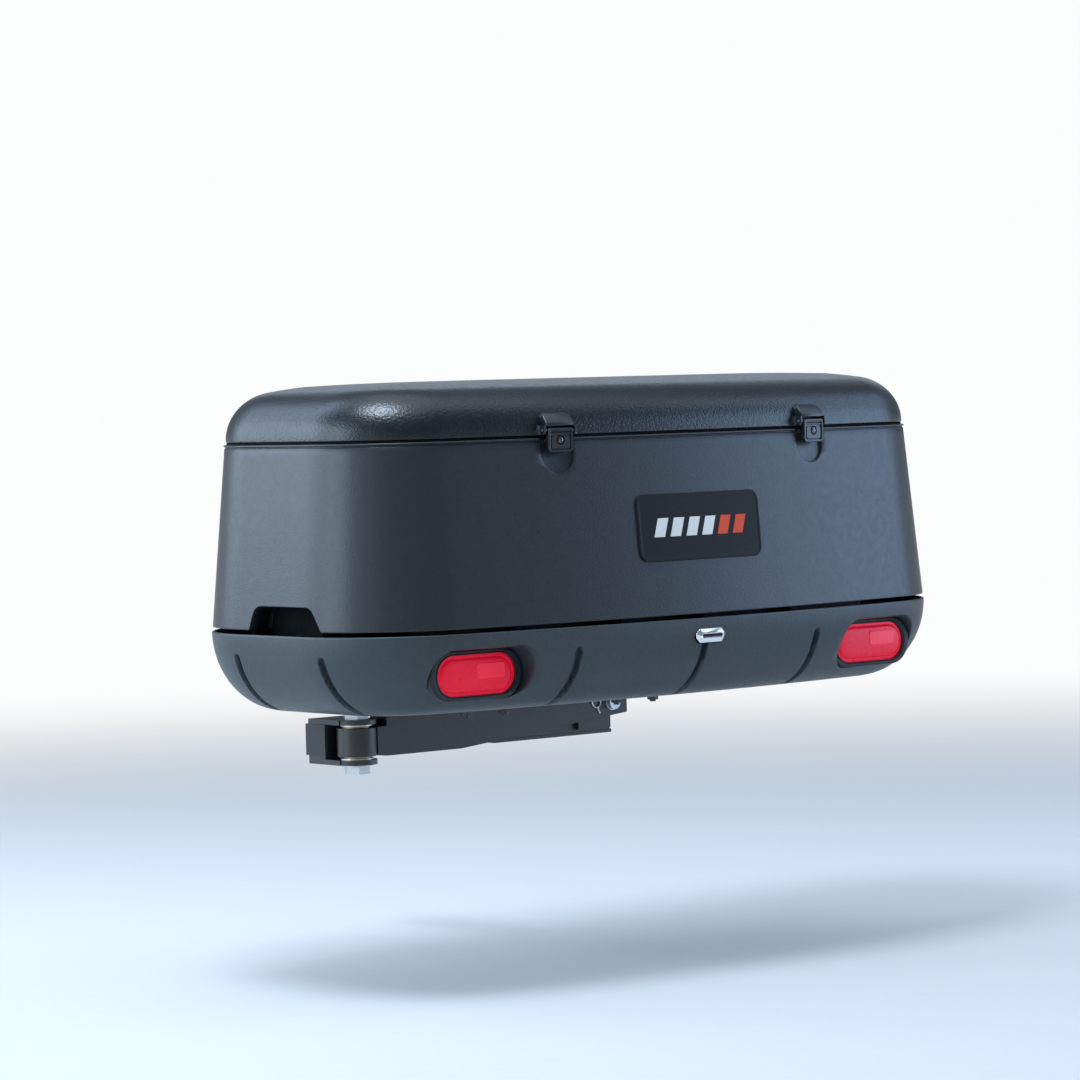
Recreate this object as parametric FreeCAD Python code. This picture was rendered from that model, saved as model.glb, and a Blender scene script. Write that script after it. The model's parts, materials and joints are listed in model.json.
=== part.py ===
"""Enclosed hitch cargo carrier on a swing-away arm.

Row frame: origin at the centre of the hitch pin hole in the square shank, +X to the
passenger side, +Y towards the vehicle, +Z up.  Every shape below is modelled in the deck
frame, whose origin is under the middle of the deck tray, and save() moves it to the row
frame.  Lengths are in millimetres.
"""
import FreeCAD
import Part
import math
import os

V = FreeCAD.Vector
X_AXIS, Y_AXIS, Z_AXIS = V(1, 0, 0), V(0, 1, 0), V(0, 0, 1)

# ---- driving dimensions ---------------------------------------------------------------
# deck outline: straight front, round corners, rear face bowed on a large arc
HALF_WIDTH = 647.5          # the deck is assumed to be 51 in wide
FRONT_Y = 281.0             # front face, towards the vehicle
REAR_Y = -313.5             # furthest point of the bowed rear face
CORNER_R = 196.0
BOW_R = 3142.0

DECK_RIM_Z = 130.0
DECK_EDGE_W = 112.0         # width of the deck's quarter-ellipse edge
DECK_WALL = 4.5
RIB = 4.0
RIB_TOP_Z = 136.8           # the tub's floor rests on the ribs
RIB_INSET = 34.0
GROOVE_W, GROOVE_DEPTH = 12.0, 8.0
GROOVE_LOW_Z, GROOVE_HIGH_Z = 8.0, 96.0
REAR_GROOVE_X = (-260.0, 0.0, 260.0)
SIDE_GROOVE_Y = (-123.0, 90.0)

TUB_FLOOR_Z = 137.0
TUB_RIM_Z = 428.0
TUB_LOW_INSET = 1.5
TUB_RIM_INSET = 29.0
TUB_WALL = 5.0

LID_LOW_Z = 432.0
LID_INSET = 31.0
LID_EDGE_W, LID_EDGE_H = 85.0, 78.0     # quarter-ellipse shoulder of the lid
LID_EDGE_START = 2.0
LID_CROWN = 10.0
LID_WALL = 4.5

LAMP_X, LAMP_Z = 430.0, 63.0            # oval lamps in rubber grommets, sized from the photo at the assumed deck width
LAMP_FACE_Y = -246.0
LENS_W, LENS_H = 164.0, 68.0
GROMMET_W, GROMMET_H = 188.0, 79.0
POCKET_FLOOR_Y = -238.0

PLATE_LAMP_X, PLATE_LAMP_Z = 8.0, 101.0
PLATE_LAMP_W, PLATE_LAMP_H = 63.5, 22.5

BADGE_W, BADGE_H, BADGE_R = 266.0, 108.0, 17.0
BADGE_X, BADGE_Z = 3.0, 278.0
BADGE_T = 3.0

LATCH_X = 275.0
LATCH_PIN_V, LATCH_PIN_Z = -8.0, 440.0  # V is measured from the tub's rim, minus is outwards
LATCH_W = 56.0
LOCK_Z = 424.0
LOCK_R = 5.0
RUNNING_GAP = 0.05

HINGE_X = 400.0
HINGE_Y, HINGE_Z = 262.0, 429.5
HINGE_R, HINGE_PIN_R = 5.5, 2.5
HINGE_W = 64.0

STRUT_X = 534.0
STRUT_FOOT = (140.0, 298.0)             # Y, Z of the lower eye
STRUT_HEAD = (151.0, 465.5)             # Y, Z of the upper eye with the lid shut
STRUT_R, ROD_R = 9.0, 4.0

TUBE = 50.8                             # 2 in square receiver size
SHANK_WALL = 6.35
SHANK_Z = -50.0
PIN_HOLE_Y = 463.0
PIN_HOLE_R = 8.2
SHANK_END_Y = 540.0
FIXED_ARM_X = (-485.0, 118.0)
FIXED_ARM_Y = 94.9
FIXED_ARM_WALL = 5.0

PIVOT_X = -450.0
PIVOT_R = 12.7
BUSH_R = 16.0
SLEEVE_R = 32.0
SLEEVE_Z = (-76.0, -30.0)
CLEVIS_T = 8.0
SWING_ARM_Y = 35.5
SWING_ARM_W = 44.0
SWING_ARM_TOP = -6.0
SWING_ARM_END_X = 112.0
SWING_ARM_WALL = 4.0
MOUNT_PLATE_X = (-300.0, 20.0)
RAIL_Y = (-110.0, 150.0)
RAIL_W, RAIL_H, RAIL_LEN = 30.0, 25.0, 960.0
POST_X = (-200.0, 200.0)

LOCK_PIN_X, LOCK_PIN_Z = 78.0, -24.0
LOCK_PIN_R = 6.35

DECK_IN_ROW = V(0, -PIN_HOLE_Y, -SHANK_Z)


# ---- shape helpers --------------------------------------------------------------------
def box(x0, x1, y0, y1, z0, z1):
    return Part.makeBox(x1 - x0, y1 - y0, z1 - z0, V(x0, y0, z0))


def rod(radius, start, end):
    run = end.sub(start)
    return Part.makeCylinder(radius, run.Length, start, run)


def tube(outer_r, inner_r, start, end):
    return rod(outer_r, start, end).cut(rod(inner_r, start, end))


def prism(points, direction):
    """Solid swept from a closed polygon of vectors."""
    wire = Part.makePolygon(points + [points[0]])
    return Part.Face(wire).extrude(direction)


def prism_yz(points, x0, x1):
    return prism([V(x0, y, z) for y, z in points], V(x1 - x0, 0, 0))


def prism_xz(points, y0, y1):
    return prism([V(x, y0, z) for x, z in points], V(0, y1 - y0, 0))


def prism_xy(points, z0, z1):
    return prism([V(x, y, z0) for x, y in points], V(0, 0, z1 - z0))


def hexagon(across_flats, centre, direction):
    """Hexagonal prism that starts at centre and runs along direction."""
    radius = across_flats / math.sqrt(3)
    corners = [V(radius * math.cos(k * math.pi / 3), radius * math.sin(k * math.pi / 3), 0)
               for k in range(6)]
    solid = prism(corners, V(0, 0, direction.Length))
    solid.Placement = FreeCAD.Placement(centre, FreeCAD.Rotation(Z_AXIS, direction))
    return solid


def fuse_all(shapes):
    if len(shapes) == 1:
        return shapes[0]
    return shapes[0].multiFuse(shapes[1:]).removeSplitter()


def mirror_x(shape):
    return shape.mirror(V(0, 0, 0), X_AXIS)


def square_tube_x(x0, x1, y, z, size, wall):
    half, inner = size / 2, size / 2 - wall
    outer = box(x0, x1, y - half, y + half, z - half, z + half)
    return outer.cut(box(x0, x1, y - inner, y + inner, z - inner, z + inner))


def stadium(width, height, cx, cz, y0, y1):
    """Round-ended slot shape that faces along Y."""
    r = height / 2
    reach = width / 2 - r
    body = box(cx - reach, cx + reach, y0, y1, cz - r, cz + r)
    ends = [rod(r, V(cx + side * reach, y0, cz), V(cx + side * reach, y1, cz)) for side in (-1, 1)]
    return fuse_all([body] + ends)


def rounded_slab(width, height, radius, y0, y1):
    """Slab with round corners that faces along Y, centred on X and Z."""
    w, h = width / 2, height / 2
    slab = box(-w, w, y0, y1, -h, h)
    upright = [e for e in slab.Edges if abs(e.tangentAt(e.FirstParameter).y) > 0.9]
    return slab.makeFillet(radius, upright)


def save(name, *solids):
    """Write one node, in the row frame; several solids stay separate."""
    shape = solids[0] if len(solids) == 1 else Part.makeCompound(list(solids))
    shape = shape.copy()
    shape.translate(DECK_IN_ROW)
    shape.exportStep("parts/%s.step" % name)
    print("%-26s solids %2d  volume %10.1f  valid %s"
          % (name, len(shape.Solids), shape.Volume, shape.isValid()))


# ---- outline shared by the deck, the tub and the lid ----------------------------------
def outline(inset, z):
    """Closed wire: the deck's outline moved inwards by inset, at height z."""
    a, front, rear = HALF_WIDTH - inset, FRONT_Y - inset, REAR_Y + inset
    r = max(CORNER_R - inset, 18.0)
    big = BOW_R - inset
    cx, cy_front = a - r, front - r
    bow_y = rear + big
    cy_rear = bow_y - math.sqrt((big - r) ** 2 - cx ** 2)
    lean = math.atan2(cx, bow_y - cy_rear)      # where the corner meets the bowed rear

    def corner(side, cy, angle_deg):
        angle = math.radians(angle_deg)
        return V(side * (cx + r * math.cos(angle)), cy + r * math.sin(angle), z)

    rear_deg = -90 + math.degrees(lean)
    edges = [Part.LineSegment(V(-cx, front, z), V(cx, front, z))]
    edges.append(Part.Arc(V(cx, front, z), corner(1, cy_front, 45), V(a, cy_front, z)))
    edges.append(Part.LineSegment(V(a, cy_front, z), V(a, cy_rear, z)))
    bow_right, bow_left = corner(1, cy_rear, rear_deg), corner(-1, cy_rear, rear_deg)
    edges.append(Part.Arc(V(a, cy_rear, z), corner(1, cy_rear, rear_deg / 2), bow_right))
    edges.append(Part.Arc(bow_right, V(0, rear, z), bow_left))
    edges.append(Part.Arc(bow_left, corner(-1, cy_rear, rear_deg / 2), V(-a, cy_rear, z)))
    edges.append(Part.LineSegment(V(-a, cy_rear, z), V(-a, cy_front, z)))
    edges.append(Part.Arc(V(-a, cy_front, z), corner(-1, cy_front, 45), V(-cx, front, z)))
    return Part.Wire([e.toShape() for e in edges])


def rear_y(x, inset):
    """Y of the bowed rear face at x, for an outline moved inwards by inset."""
    big = BOW_R - inset
    return REAR_Y + inset + big - math.sqrt(big ** 2 - x ** 2)


def slab(inset, z0, z1):
    return Part.Face(outline(inset, z0)).extrude(V(0, 0, z1 - z0))


def loft(sections, ruled=False):
    """Solid through outlines given as (inset, z) pairs."""
    return Part.makeLoft([outline(inset, z) for inset, z in sections], True, ruled)


# ---- deck tray ------------------------------------------------------------------------
def deck_solid(depth, ruled=False):
    """The deck's outer form, taken depth inside its surface."""
    sections = []
    step = 7.5 if ruled else 15.0
    for k in range(int(90 / step) + 1):
        angle = math.radians(90 - k * step)
        inset = depth + (DECK_EDGE_W - 0.4 * depth) * (1 - math.cos(angle))
        sections.append((inset, depth + (DECK_RIM_Z - depth) * (1 - math.sin(angle))))
    return loft(sections, ruled)


def groove_tools(margin, core):
    """Upright slots across the deck's edge, wider by margin, that stop at the core."""
    w = GROOVE_W / 2 + margin
    low, high = GROOVE_LOW_Z - margin, GROOVE_HIGH_Z + margin
    far = HALF_WIDTH + 20
    slots = []
    for x in REAR_GROOVE_X:
        slots.append(fuse_all([box(x - w, x + w, -400, -150, low, high - w),
                               rod(w, V(x, -400, high - w), V(x, -150, high - w))]))
    for y in SIDE_GROOVE_Y:
        for x0, x1 in ((-far, -450), (450, far)):
            slots.append(fuse_all([box(x0, x1, y - w, y + w, low, high - w),
                                   rod(w, V(x0, y, high - w), V(x1, y, high - w))]))
    return [slot.cut(core) for slot in slots]


def lamp_pockets(width, height, floor_y):
    return [stadium(width, height, side * LAMP_X, LAMP_Z, -400, floor_y) for side in (-1, 1)]


def make_deck_tray():
    outer = deck_solid(0).cut(groove_tools(0, deck_solid(GROOVE_DEPTH, True)))
    outer = outer.cut(lamp_pockets(GROMMET_W + 2, GROMMET_H + 2, POCKET_FLOOR_Y))
    thick_core = deck_solid(GROOVE_DEPTH + DECK_WALL, True)
    inner = deck_solid(DECK_WALL).cut(groove_tools(DECK_WALL, thick_core))
    inner = inner.cut(lamp_pockets(GROMMET_W + 10, GROMMET_H + 10, POCKET_FLOOR_Y + DECK_WALL))

    ribs = []
    for y in (-165.0, 20.0, 215.0):
        ribs.append(box(-640, 640, y - RIB / 2, y + RIB / 2, 1, RIB_TOP_Z))
    for x in (90.0, 300.0, 545.0):
        for side in (-1, 1):
            ribs.append(box(side * x - RIB / 2, side * x + RIB / 2, -300, 275, 1, RIB_TOP_Z))
    grid = fuse_all(ribs).common(slab(RIB_INSET, 0, RIB_TOP_Z))
    upper = grid.common(slab(RIB_INSET, DECK_RIM_Z - 1, RIB_TOP_Z))
    lower = grid.common(outer)
    tray = fuse_all([outer.cut(inner), lower, upper])

    cuts = [box(-RAIL_LEN / 2 - 1, RAIL_LEN / 2 + 1, y - RAIL_W / 2 - 0.5, y + RAIL_W / 2 + 0.5,
                DECK_WALL, DECK_WALL + RAIL_H + 1) for y in RAIL_Y]
    cuts += [rod(5.25, V(x, y, -1), V(x, y, 6)) for x, y in deck_bolt_places()]
    cuts += lamp_pockets(160, 60, -200)
    cuts.append(plate_lamp_box(21, -330, -296, 6))
    return tray.cut(cuts)


def deck_bolt_places():
    return [(x + dx, y) for x in MOUNT_PLATE_X for dx in (-40, 40) for y in RAIL_Y]


# ---- tub ------------------------------------------------------------------------------
def tub_inset(z):
    share = (z - TUB_FLOOR_Z) / (TUB_RIM_Z - TUB_FLOOR_Z)
    return TUB_LOW_INSET + share * (TUB_RIM_INSET - TUB_LOW_INSET)


def hand_hold(margin):
    """Tapered recess under each end wall, grown by margin."""
    low = [(-127 - margin, TUB_FLOOR_Z - 2), (51 + margin, TUB_FLOOR_Z - 2)]
    high = [(39 + margin, 174 + margin), (-102 - margin, 174 + margin)]
    recess = prism_yz(low + high, -HALF_WIDTH - 5, -600 + margin)
    top_edges = [e for e in recess.Edges
                 if abs(e.tangentAt(e.FirstParameter).x) > 0.9 and e.CenterOfMass.z > 160]
    recess = recess.makeFillet(20, top_edges)
    return [recess, mirror_x(recess)]


def at_latch(shape, side):
    """Place a shape drawn at the latch's own origin on the rear wall."""
    x = side * LATCH_X
    placed = shape.copy()
    placed.rotate(V(0, 0, 0), Z_AXIS, math.degrees(latch_lean(side)))
    placed.translate(V(x, rear_y(x, TUB_RIM_INSET), 0))
    return placed


def latch_lean(side):
    return math.asin(side * LATCH_X / (BOW_R - TUB_RIM_INSET))


def finger_pocket(margin):
    """U-shaped scoop in the rear wall, deepest at the rim, for one latch."""
    half = 31 + margin
    scoop = fuse_all([box(-half, half, -30, 20, 403, 445), rod(half, V(0, -30, 403), V(0, 20, 403))])
    slope = prism_yz([(8 + margin, 445), (8 + margin, 428), (-5.3 + margin, 372 - margin),
                      (-40, 372 - margin), (-40, 445)], -half - 1, half + 1)
    return scoop.common(slope)


def make_tub_shell():
    outer = loft([(TUB_LOW_INSET, TUB_FLOOR_Z), (TUB_RIM_INSET, TUB_RIM_Z)], True)
    inner = loft([(TUB_LOW_INSET + TUB_WALL, TUB_FLOOR_Z + TUB_WALL),
                  (TUB_RIM_INSET + TUB_WALL, TUB_RIM_Z + 0.01)], True)
    pockets = [at_latch(finger_pocket(0), side) for side in (-1, 1)]
    backed = [at_latch(finger_pocket(4.0), side) for side in (-1, 1)]
    outer = outer.cut(pockets + hand_hold(0))
    inner = inner.cut(backed + hand_hold(TUB_WALL))
    bolts = [rod(5.5, V(x, y, TUB_FLOOR_Z - 1), V(x, y, TUB_FLOOR_Z + 8)) for x in POST_X for y in RAIL_Y]
    return outer.cut(inner).cut(bolts)


# ---- lid ------------------------------------------------------------------------------
def lid_solid(depth):
    """The lid's outer form, taken depth inside its surface."""
    start = LID_INSET + depth
    width, height = LID_EDGE_W - 0.4 * depth, LID_EDGE_H - depth
    base_z = LID_LOW_Z + LID_EDGE_START
    sections = []
    for degrees in (0, 15, 30, 45, 60, 75, 90):
        angle = math.radians(degrees)
        sections.append((start + width * (1 - math.cos(angle)), base_z + height * math.sin(angle)))
    top_z = base_z + height
    shoulder = loft(sections)
    skirt = slab(start, LID_LOW_Z, base_z)
    crown_rows = ((0, 0), (45, 0.55), (90, 0.9), (125, 1))
    crown = loft([(start + width + run, top_z + share * LID_CROWN) for run, share in crown_rows], True)
    return fuse_all([skirt, shoulder, crown])


# ---- latches --------------------------------------------------------------------------
def make_latch_base(lid):
    """Sloped cap with two ears that carry the lever's pin."""
    half = LATCH_W / 2
    cap = prism_yz([(8, 447), (-13, 447), (-13, 450), (-1, 464), (14, 464)], -half - 5, half + 5)
    ear = prism_yz([(4, 433), (-11, 433), (-14, 437), (-13, 448), (6, 448)], half + 0.5, half + 5)
    base = fuse_all([cap, ear, mirror_x(ear)])
    pin = V(0, LATCH_PIN_V, LATCH_PIN_Z)
    base = base.cut(rod(2.0, pin + V(-60, 0, 0), pin + V(60, 0, 0)))
    return [at_latch(base, side).cut(lid) for side in (-1, 1)]


def make_latch_lever():
    half = LATCH_W / 2
    pin = V(0, LATCH_PIN_V, LATCH_PIN_Z)
    face = prism_yz([(-13, 405), (-8, 405), (-7, 443), (-11, 443), (-13, 440)], -half, half)
    barrel = rod(4.5, pin + V(-half, 0, 0), pin + V(half, 0, 0))
    hook_side = [(-9, 437), (-5.5, 437), (-5.5, 420), (-1.5, 420), (-1.5, 415.5), (-9, 415.5)]
    hooks = [prism_yz(hook_side, x, x + 7) for x in (-18, 11)]
    cheeks = [box(x, x + 3, -8.5, -4, 407, 440) for x in (-half, half - 3)]
    lever = fuse_all([face, barrel] + hooks + cheeks)
    bore = rod(2.0 + RUNNING_GAP, pin + V(-60, 0, 0), pin + V(60, 0, 0))
    lock_bore = rod(LOCK_R + RUNNING_GAP, V(0, -20, LOCK_Z), V(0, 5, LOCK_Z))
    return lever.cut([bore, lock_bore])


def make_lock_barrel():
    """Key cylinder with its slot and the cam behind the lever."""
    body = rod(LOCK_R, V(0, -14, LOCK_Z), V(0, -6.5, LOCK_Z))
    slot = box(-0.6, 0.6, -15, -11, LOCK_Z - 3.2, LOCK_Z + 3.2)
    cam = fuse_all([rod(LOCK_R - 0.5, V(0, -6.5, LOCK_Z), V(0, -4.6, LOCK_Z)),
                    box(-2.5, 2.5, -6.5, -4.6, LOCK_Z, LOCK_Z + 9)])
    return fuse_all([body.cut(slot), cam])


def make_latches(lid, tub):
    pin = V(0, LATCH_PIN_V, LATCH_PIN_Z)
    reach = LATCH_W / 2 + 5
    save("latch_bases", *make_latch_base(lid))
    save("latch_pins", *[at_latch(rod(2.0, pin + V(-reach, 0, 0), pin + V(reach, 0, 0)), side)
                         for side in (-1, 1)])
    keeper = prism_yz([(8.2, 426), (-3, 426), (-4.5, 421), (7.2, 421)], -20, 20)
    save("latch_keepers", *[at_latch(keeper, side).cut(tub) for side in (-1, 1)])
    for side, word in ((-1, "left"), (1, "right")):
        save("latch_lever_" + word, at_latch(make_latch_lever(), side))
        save("lock_barrel_" + word, at_latch(make_lock_barrel(), side))


# ---- lid hinges -----------------------------------------------------------------------
def knuckle(x0, x1, bore_r):
    return tube(HINGE_R, bore_r, V(x0, HINGE_Y, HINGE_Z), V(x1, HINGE_Y, HINGE_Z))


def make_hinges(lid, tub):
    wall_low = FRONT_Y - tub_inset(388)
    wall_high = FRONT_Y - tub_inset(424)
    half, mid = HINGE_W / 2, 11.0
    tub_plate = prism_yz([(wall_low, 388), (wall_low + 3, 388), (wall_high + 3, 424), (wall_high, 424)],
                         -half, half)
    arm_side = [(wall_high, 421), (HINGE_Y - 2, 424.2), (HINGE_Y, 427), (wall_high, 424.5)]
    arm = prism_yz(arm_side, -mid, mid)
    tub_leaf = fuse_all([tub_plate, arm, knuckle(-mid, mid, HINGE_PIN_R)])
    tub_leaf = tub_leaf.cut(rod(HINGE_PIN_R, V(-half, HINGE_Y, HINGE_Z), V(half, HINGE_Y, HINGE_Z)))

    lid_front = FRONT_Y - LID_INSET
    back, face = lid_front - 6, lid_front + 3
    lid_parts = [prism_yz([(back, 435.5), (face, 435.5), (lid_front, 458), (back, 458)], -half, half)]
    bore_r = HINGE_PIN_R + RUNNING_GAP
    for x0, x1 in ((-half, -mid - 0.5), (mid + 0.5, half)):
        lid_parts.append(box(x0, x1, lid_front - 2, HINGE_Y, 433.5, 436.5))
        lid_parts.append(knuckle(x0, x1, bore_r))
    lid_leaf = fuse_all(lid_parts).cut(rod(bore_r, V(-half, HINGE_Y, HINGE_Z), V(half, HINGE_Y, HINGE_Z)))
    pin = rod(HINGE_PIN_R, V(-half - 1, HINGE_Y, HINGE_Z), V(half + 1, HINGE_Y, HINGE_Z))

    def pair(shape):
        return [shape.translated(V(side * HINGE_X, 0, 0)) for side in (-1, 1)]

    save("tub_hinge_leaves", *[leaf.cut(tub) for leaf in pair(tub_leaf)])
    save("lid_hinge_leaves", *[leaf.cut(lid) for leaf in pair(lid_leaf)])
    save("hinge_pins", *pair(pin))


# ---- gas struts -----------------------------------------------------------------------
def strut_point(distance, x=STRUT_X):
    """Point on the strut's line, distance from its lower eye, with the lid shut."""
    dy, dz = STRUT_HEAD[0] - STRUT_FOOT[0], STRUT_HEAD[1] - STRUT_FOOT[1]
    length = math.hypot(dy, dz)
    return V(x, STRUT_FOOT[0] + dy * distance / length, STRUT_FOOT[1] + dz * distance / length)


def make_struts(tub_inner, lid_inner):
    length = math.hypot(STRUT_HEAD[0] - STRUT_FOOT[0], STRUT_HEAD[1] - STRUT_FOOT[1])
    foot, head = strut_point(0), strut_point(length)
    eye_half, stud_r = V(4, 0, 0), 3.5
    guide = 150.0                           # the rod's guide starts here, 6 mm thick
    neck_r = 4.5
    lower_eye = rod(6.5, foot - eye_half, foot + eye_half)
    lower_eye = lower_eye.fuse(rod(neck_r, strut_point(5), strut_point(16)))
    body = rod(STRUT_R, strut_point(14), strut_point(guide + 6))
    body = body.cut(rod(STRUT_R - 1.5, strut_point(18), strut_point(guide)))
    body = body.cut(rod(ROD_R + RUNNING_GAP, strut_point(guide - 5), strut_point(guide + 10)))
    cylinder = fuse_all([lower_eye.cut(rod(stud_r, foot - eye_half, foot + eye_half)), body])

    stem = rod(ROD_R, strut_point(26), strut_point(length - 3))
    stroke_stop = rod(STRUT_R - 1.6, strut_point(26), strut_point(34))
    upper_eye = rod(6.0, head - eye_half, head + eye_half)
    upper_eye = upper_eye.fuse(rod(neck_r, strut_point(158), strut_point(164)))
    piston = fuse_all([stem, stroke_stop, upper_eye]).cut(rod(stud_r, head - eye_half, head + eye_half))

    # both brackets reach in from the end walls, clear of the front corners' curve
    foot_z, head_y, head_z = STRUT_FOOT[1], STRUT_HEAD[0], STRUT_HEAD[1]
    arm_x, wall_x = STRUT_X + 5, STRUT_X + 110
    arm_half = 8
    foot_side = [(arm_x, foot_z - 14), (wall_x, foot_z - 14), (wall_x, foot_z + 14), (arm_x, foot_z + 10)]
    foot_arm = prism_xz(foot_side, STRUT_FOOT[0] - arm_half, STRUT_FOOT[0] + arm_half)
    foot_stud = rod(3.45, foot + V(-4.5, 0, 0), foot + V(6, 0, 0))
    foot_bracket = foot_stud.fuse(foot_arm).common(tub_inner)
    head_arm = box(arm_x, wall_x, head_y - arm_half, head_y + arm_half, head_z - 7, head_z + 7)
    head_stud = rod(6.0, head + V(4.6, 0, 0), head + V(9, 0, 0))
    head_bracket = head_stud.fuse(head_arm).common(lid_inner)
    save("strut_cylinder_right", cylinder)
    save("strut_cylinder_left", mirror_x(cylinder))
    save("strut_rod_right", piston)
    save("strut_rod_left", mirror_x(piston))
    save("strut_foot_brackets", foot_bracket, mirror_x(foot_bracket))
    save("strut_lid_brackets", head_bracket, mirror_x(head_bracket))


# ---- lamps and badge ------------------------------------------------------------------
def make_lamps():
    for side, word in ((-1, "left"), (1, "right")):
        x = side * LAMP_X

        def oval(width, height, y0, y1):
            return stadium(width, height, x, LAMP_Z, y0, y1)

        grommet = oval(GROMMET_W, GROMMET_H, LAMP_FACE_Y - 3, POCKET_FLOOR_Y)
        grommet = grommet.cut(oval(LENS_W + 0.4, LENS_H + 0.4, LAMP_FACE_Y - 4, POCKET_FLOOR_Y + 1))
        lens = fuse_all([oval(LENS_W, LENS_H, LAMP_FACE_Y, POCKET_FLOOR_Y),
                         oval(LENS_W - 26, LENS_H - 22, LAMP_FACE_Y - 2, LAMP_FACE_Y)])
        lens = lens.cut(oval(LENS_W - 10, LENS_H - 10, LAMP_FACE_Y + 3, POCKET_FLOOR_Y + 1))
        cup = oval(LENS_W - 6, LENS_H - 10, POCKET_FLOOR_Y, -212)
        cup = cup.cut(oval(LENS_W - 12, LENS_H - 16, POCKET_FLOOR_Y - 1, -215))
        board = oval(LENS_W - 13, LENS_H - 17, -224, -222)
        emitters = [rod(3.2, V(x + dx, -229, LAMP_Z + dz), V(x + dx, -224, LAMP_Z + dz))
                    for dx in (-48, -24, 0, 24, 48) for dz in (-11, 11)]
        save("light_grommet_" + word, grommet)
        save("light_lens_" + word, lens)
        save("light_housing_" + word, cup)
        save("light_board_" + word, fuse_all([board] + emitters))


def plate_lamp_box(half_x, y0, y1, half_z):
    return box(PLATE_LAMP_X - half_x, PLATE_LAMP_X + half_x, y0, y1,
               PLATE_LAMP_Z - half_z, PLATE_LAMP_Z + half_z)


def make_plate_lamp():
    """Chrome licence-plate lamp: long octagonal bezel with a clear window."""
    w, h, cut = PLATE_LAMP_W / 2, PLATE_LAMP_H / 2, 8.0
    face = [(w, -h + cut), (w, h - cut), (w - cut, h), (cut - w, h), (-w, h - cut), (-w, cut - h),
            (cut - w, -h), (w - cut, -h)]
    ring = prism_xz([(PLATE_LAMP_X + x, PLATE_LAMP_Z + z) for x, z in face], -317.0, -309.0)
    rim_edges = [e for e in ring.Edges if e.CenterOfMass.y < -316.9]
    ring = ring.makeChamfer(2.5, rim_edges)
    window = stadium(44, 9, PLATE_LAMP_X, PLATE_LAMP_Z, -320, -300)
    socket = plate_lamp_box(20.5, -309.5, -292, 5.5).cut(plate_lamp_box(18.5, -310, -294, 3.8))
    housing = fuse_all([ring.cut(window), socket])
    wall_behind = deck_solid(0).common(plate_lamp_box(60, -330, -290, 25))
    housing = housing.cut(wall_behind.cut(plate_lamp_box(20.8, -330, -280, 5.8)))
    save("licence_lamp_housing", housing)
    save("licence_lamp_lens", stadium(43.6, 8.6, PLATE_LAMP_X, PLATE_LAMP_Z, -316.2, -311))


def make_badge():
    """Plain plate with round corners, laid on the drafted and bowed rear wall."""
    plate = rounded_slab(BADGE_W, BADGE_H, BADGE_R, -20, 20)
    plate.translate(V(BADGE_X, rear_y(BADGE_X, tub_inset(BADGE_Z)), BADGE_Z))
    grown = loft([(TUB_LOW_INSET - BADGE_T, TUB_FLOOR_Z), (TUB_RIM_INSET - BADGE_T, TUB_RIM_Z)], True)
    wall = loft([(TUB_LOW_INSET, TUB_FLOOR_Z), (TUB_RIM_INSET, TUB_RIM_Z)], True)
    save("badge_plate", plate.common(grown).cut(wall))


# ---- steel under the deck -------------------------------------------------------------
def pivot_at(z):
    return V(PIVOT_X, SWING_ARM_Y, z)


def clevis_levels():
    """Inner faces of the clevis plates: 0.3 mm running gap, a 2.5 mm washer and a bush flange."""
    stack = 0.3 + 2.5 + 2.5
    return SLEEVE_Z[0] - stack, SLEEVE_Z[1] + stack


def lock_pin_bore(gap):
    return rod(LOCK_PIN_R + gap, V(LOCK_PIN_X, 0, LOCK_PIN_Z), V(LOCK_PIN_X, 90, LOCK_PIN_Z))


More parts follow.
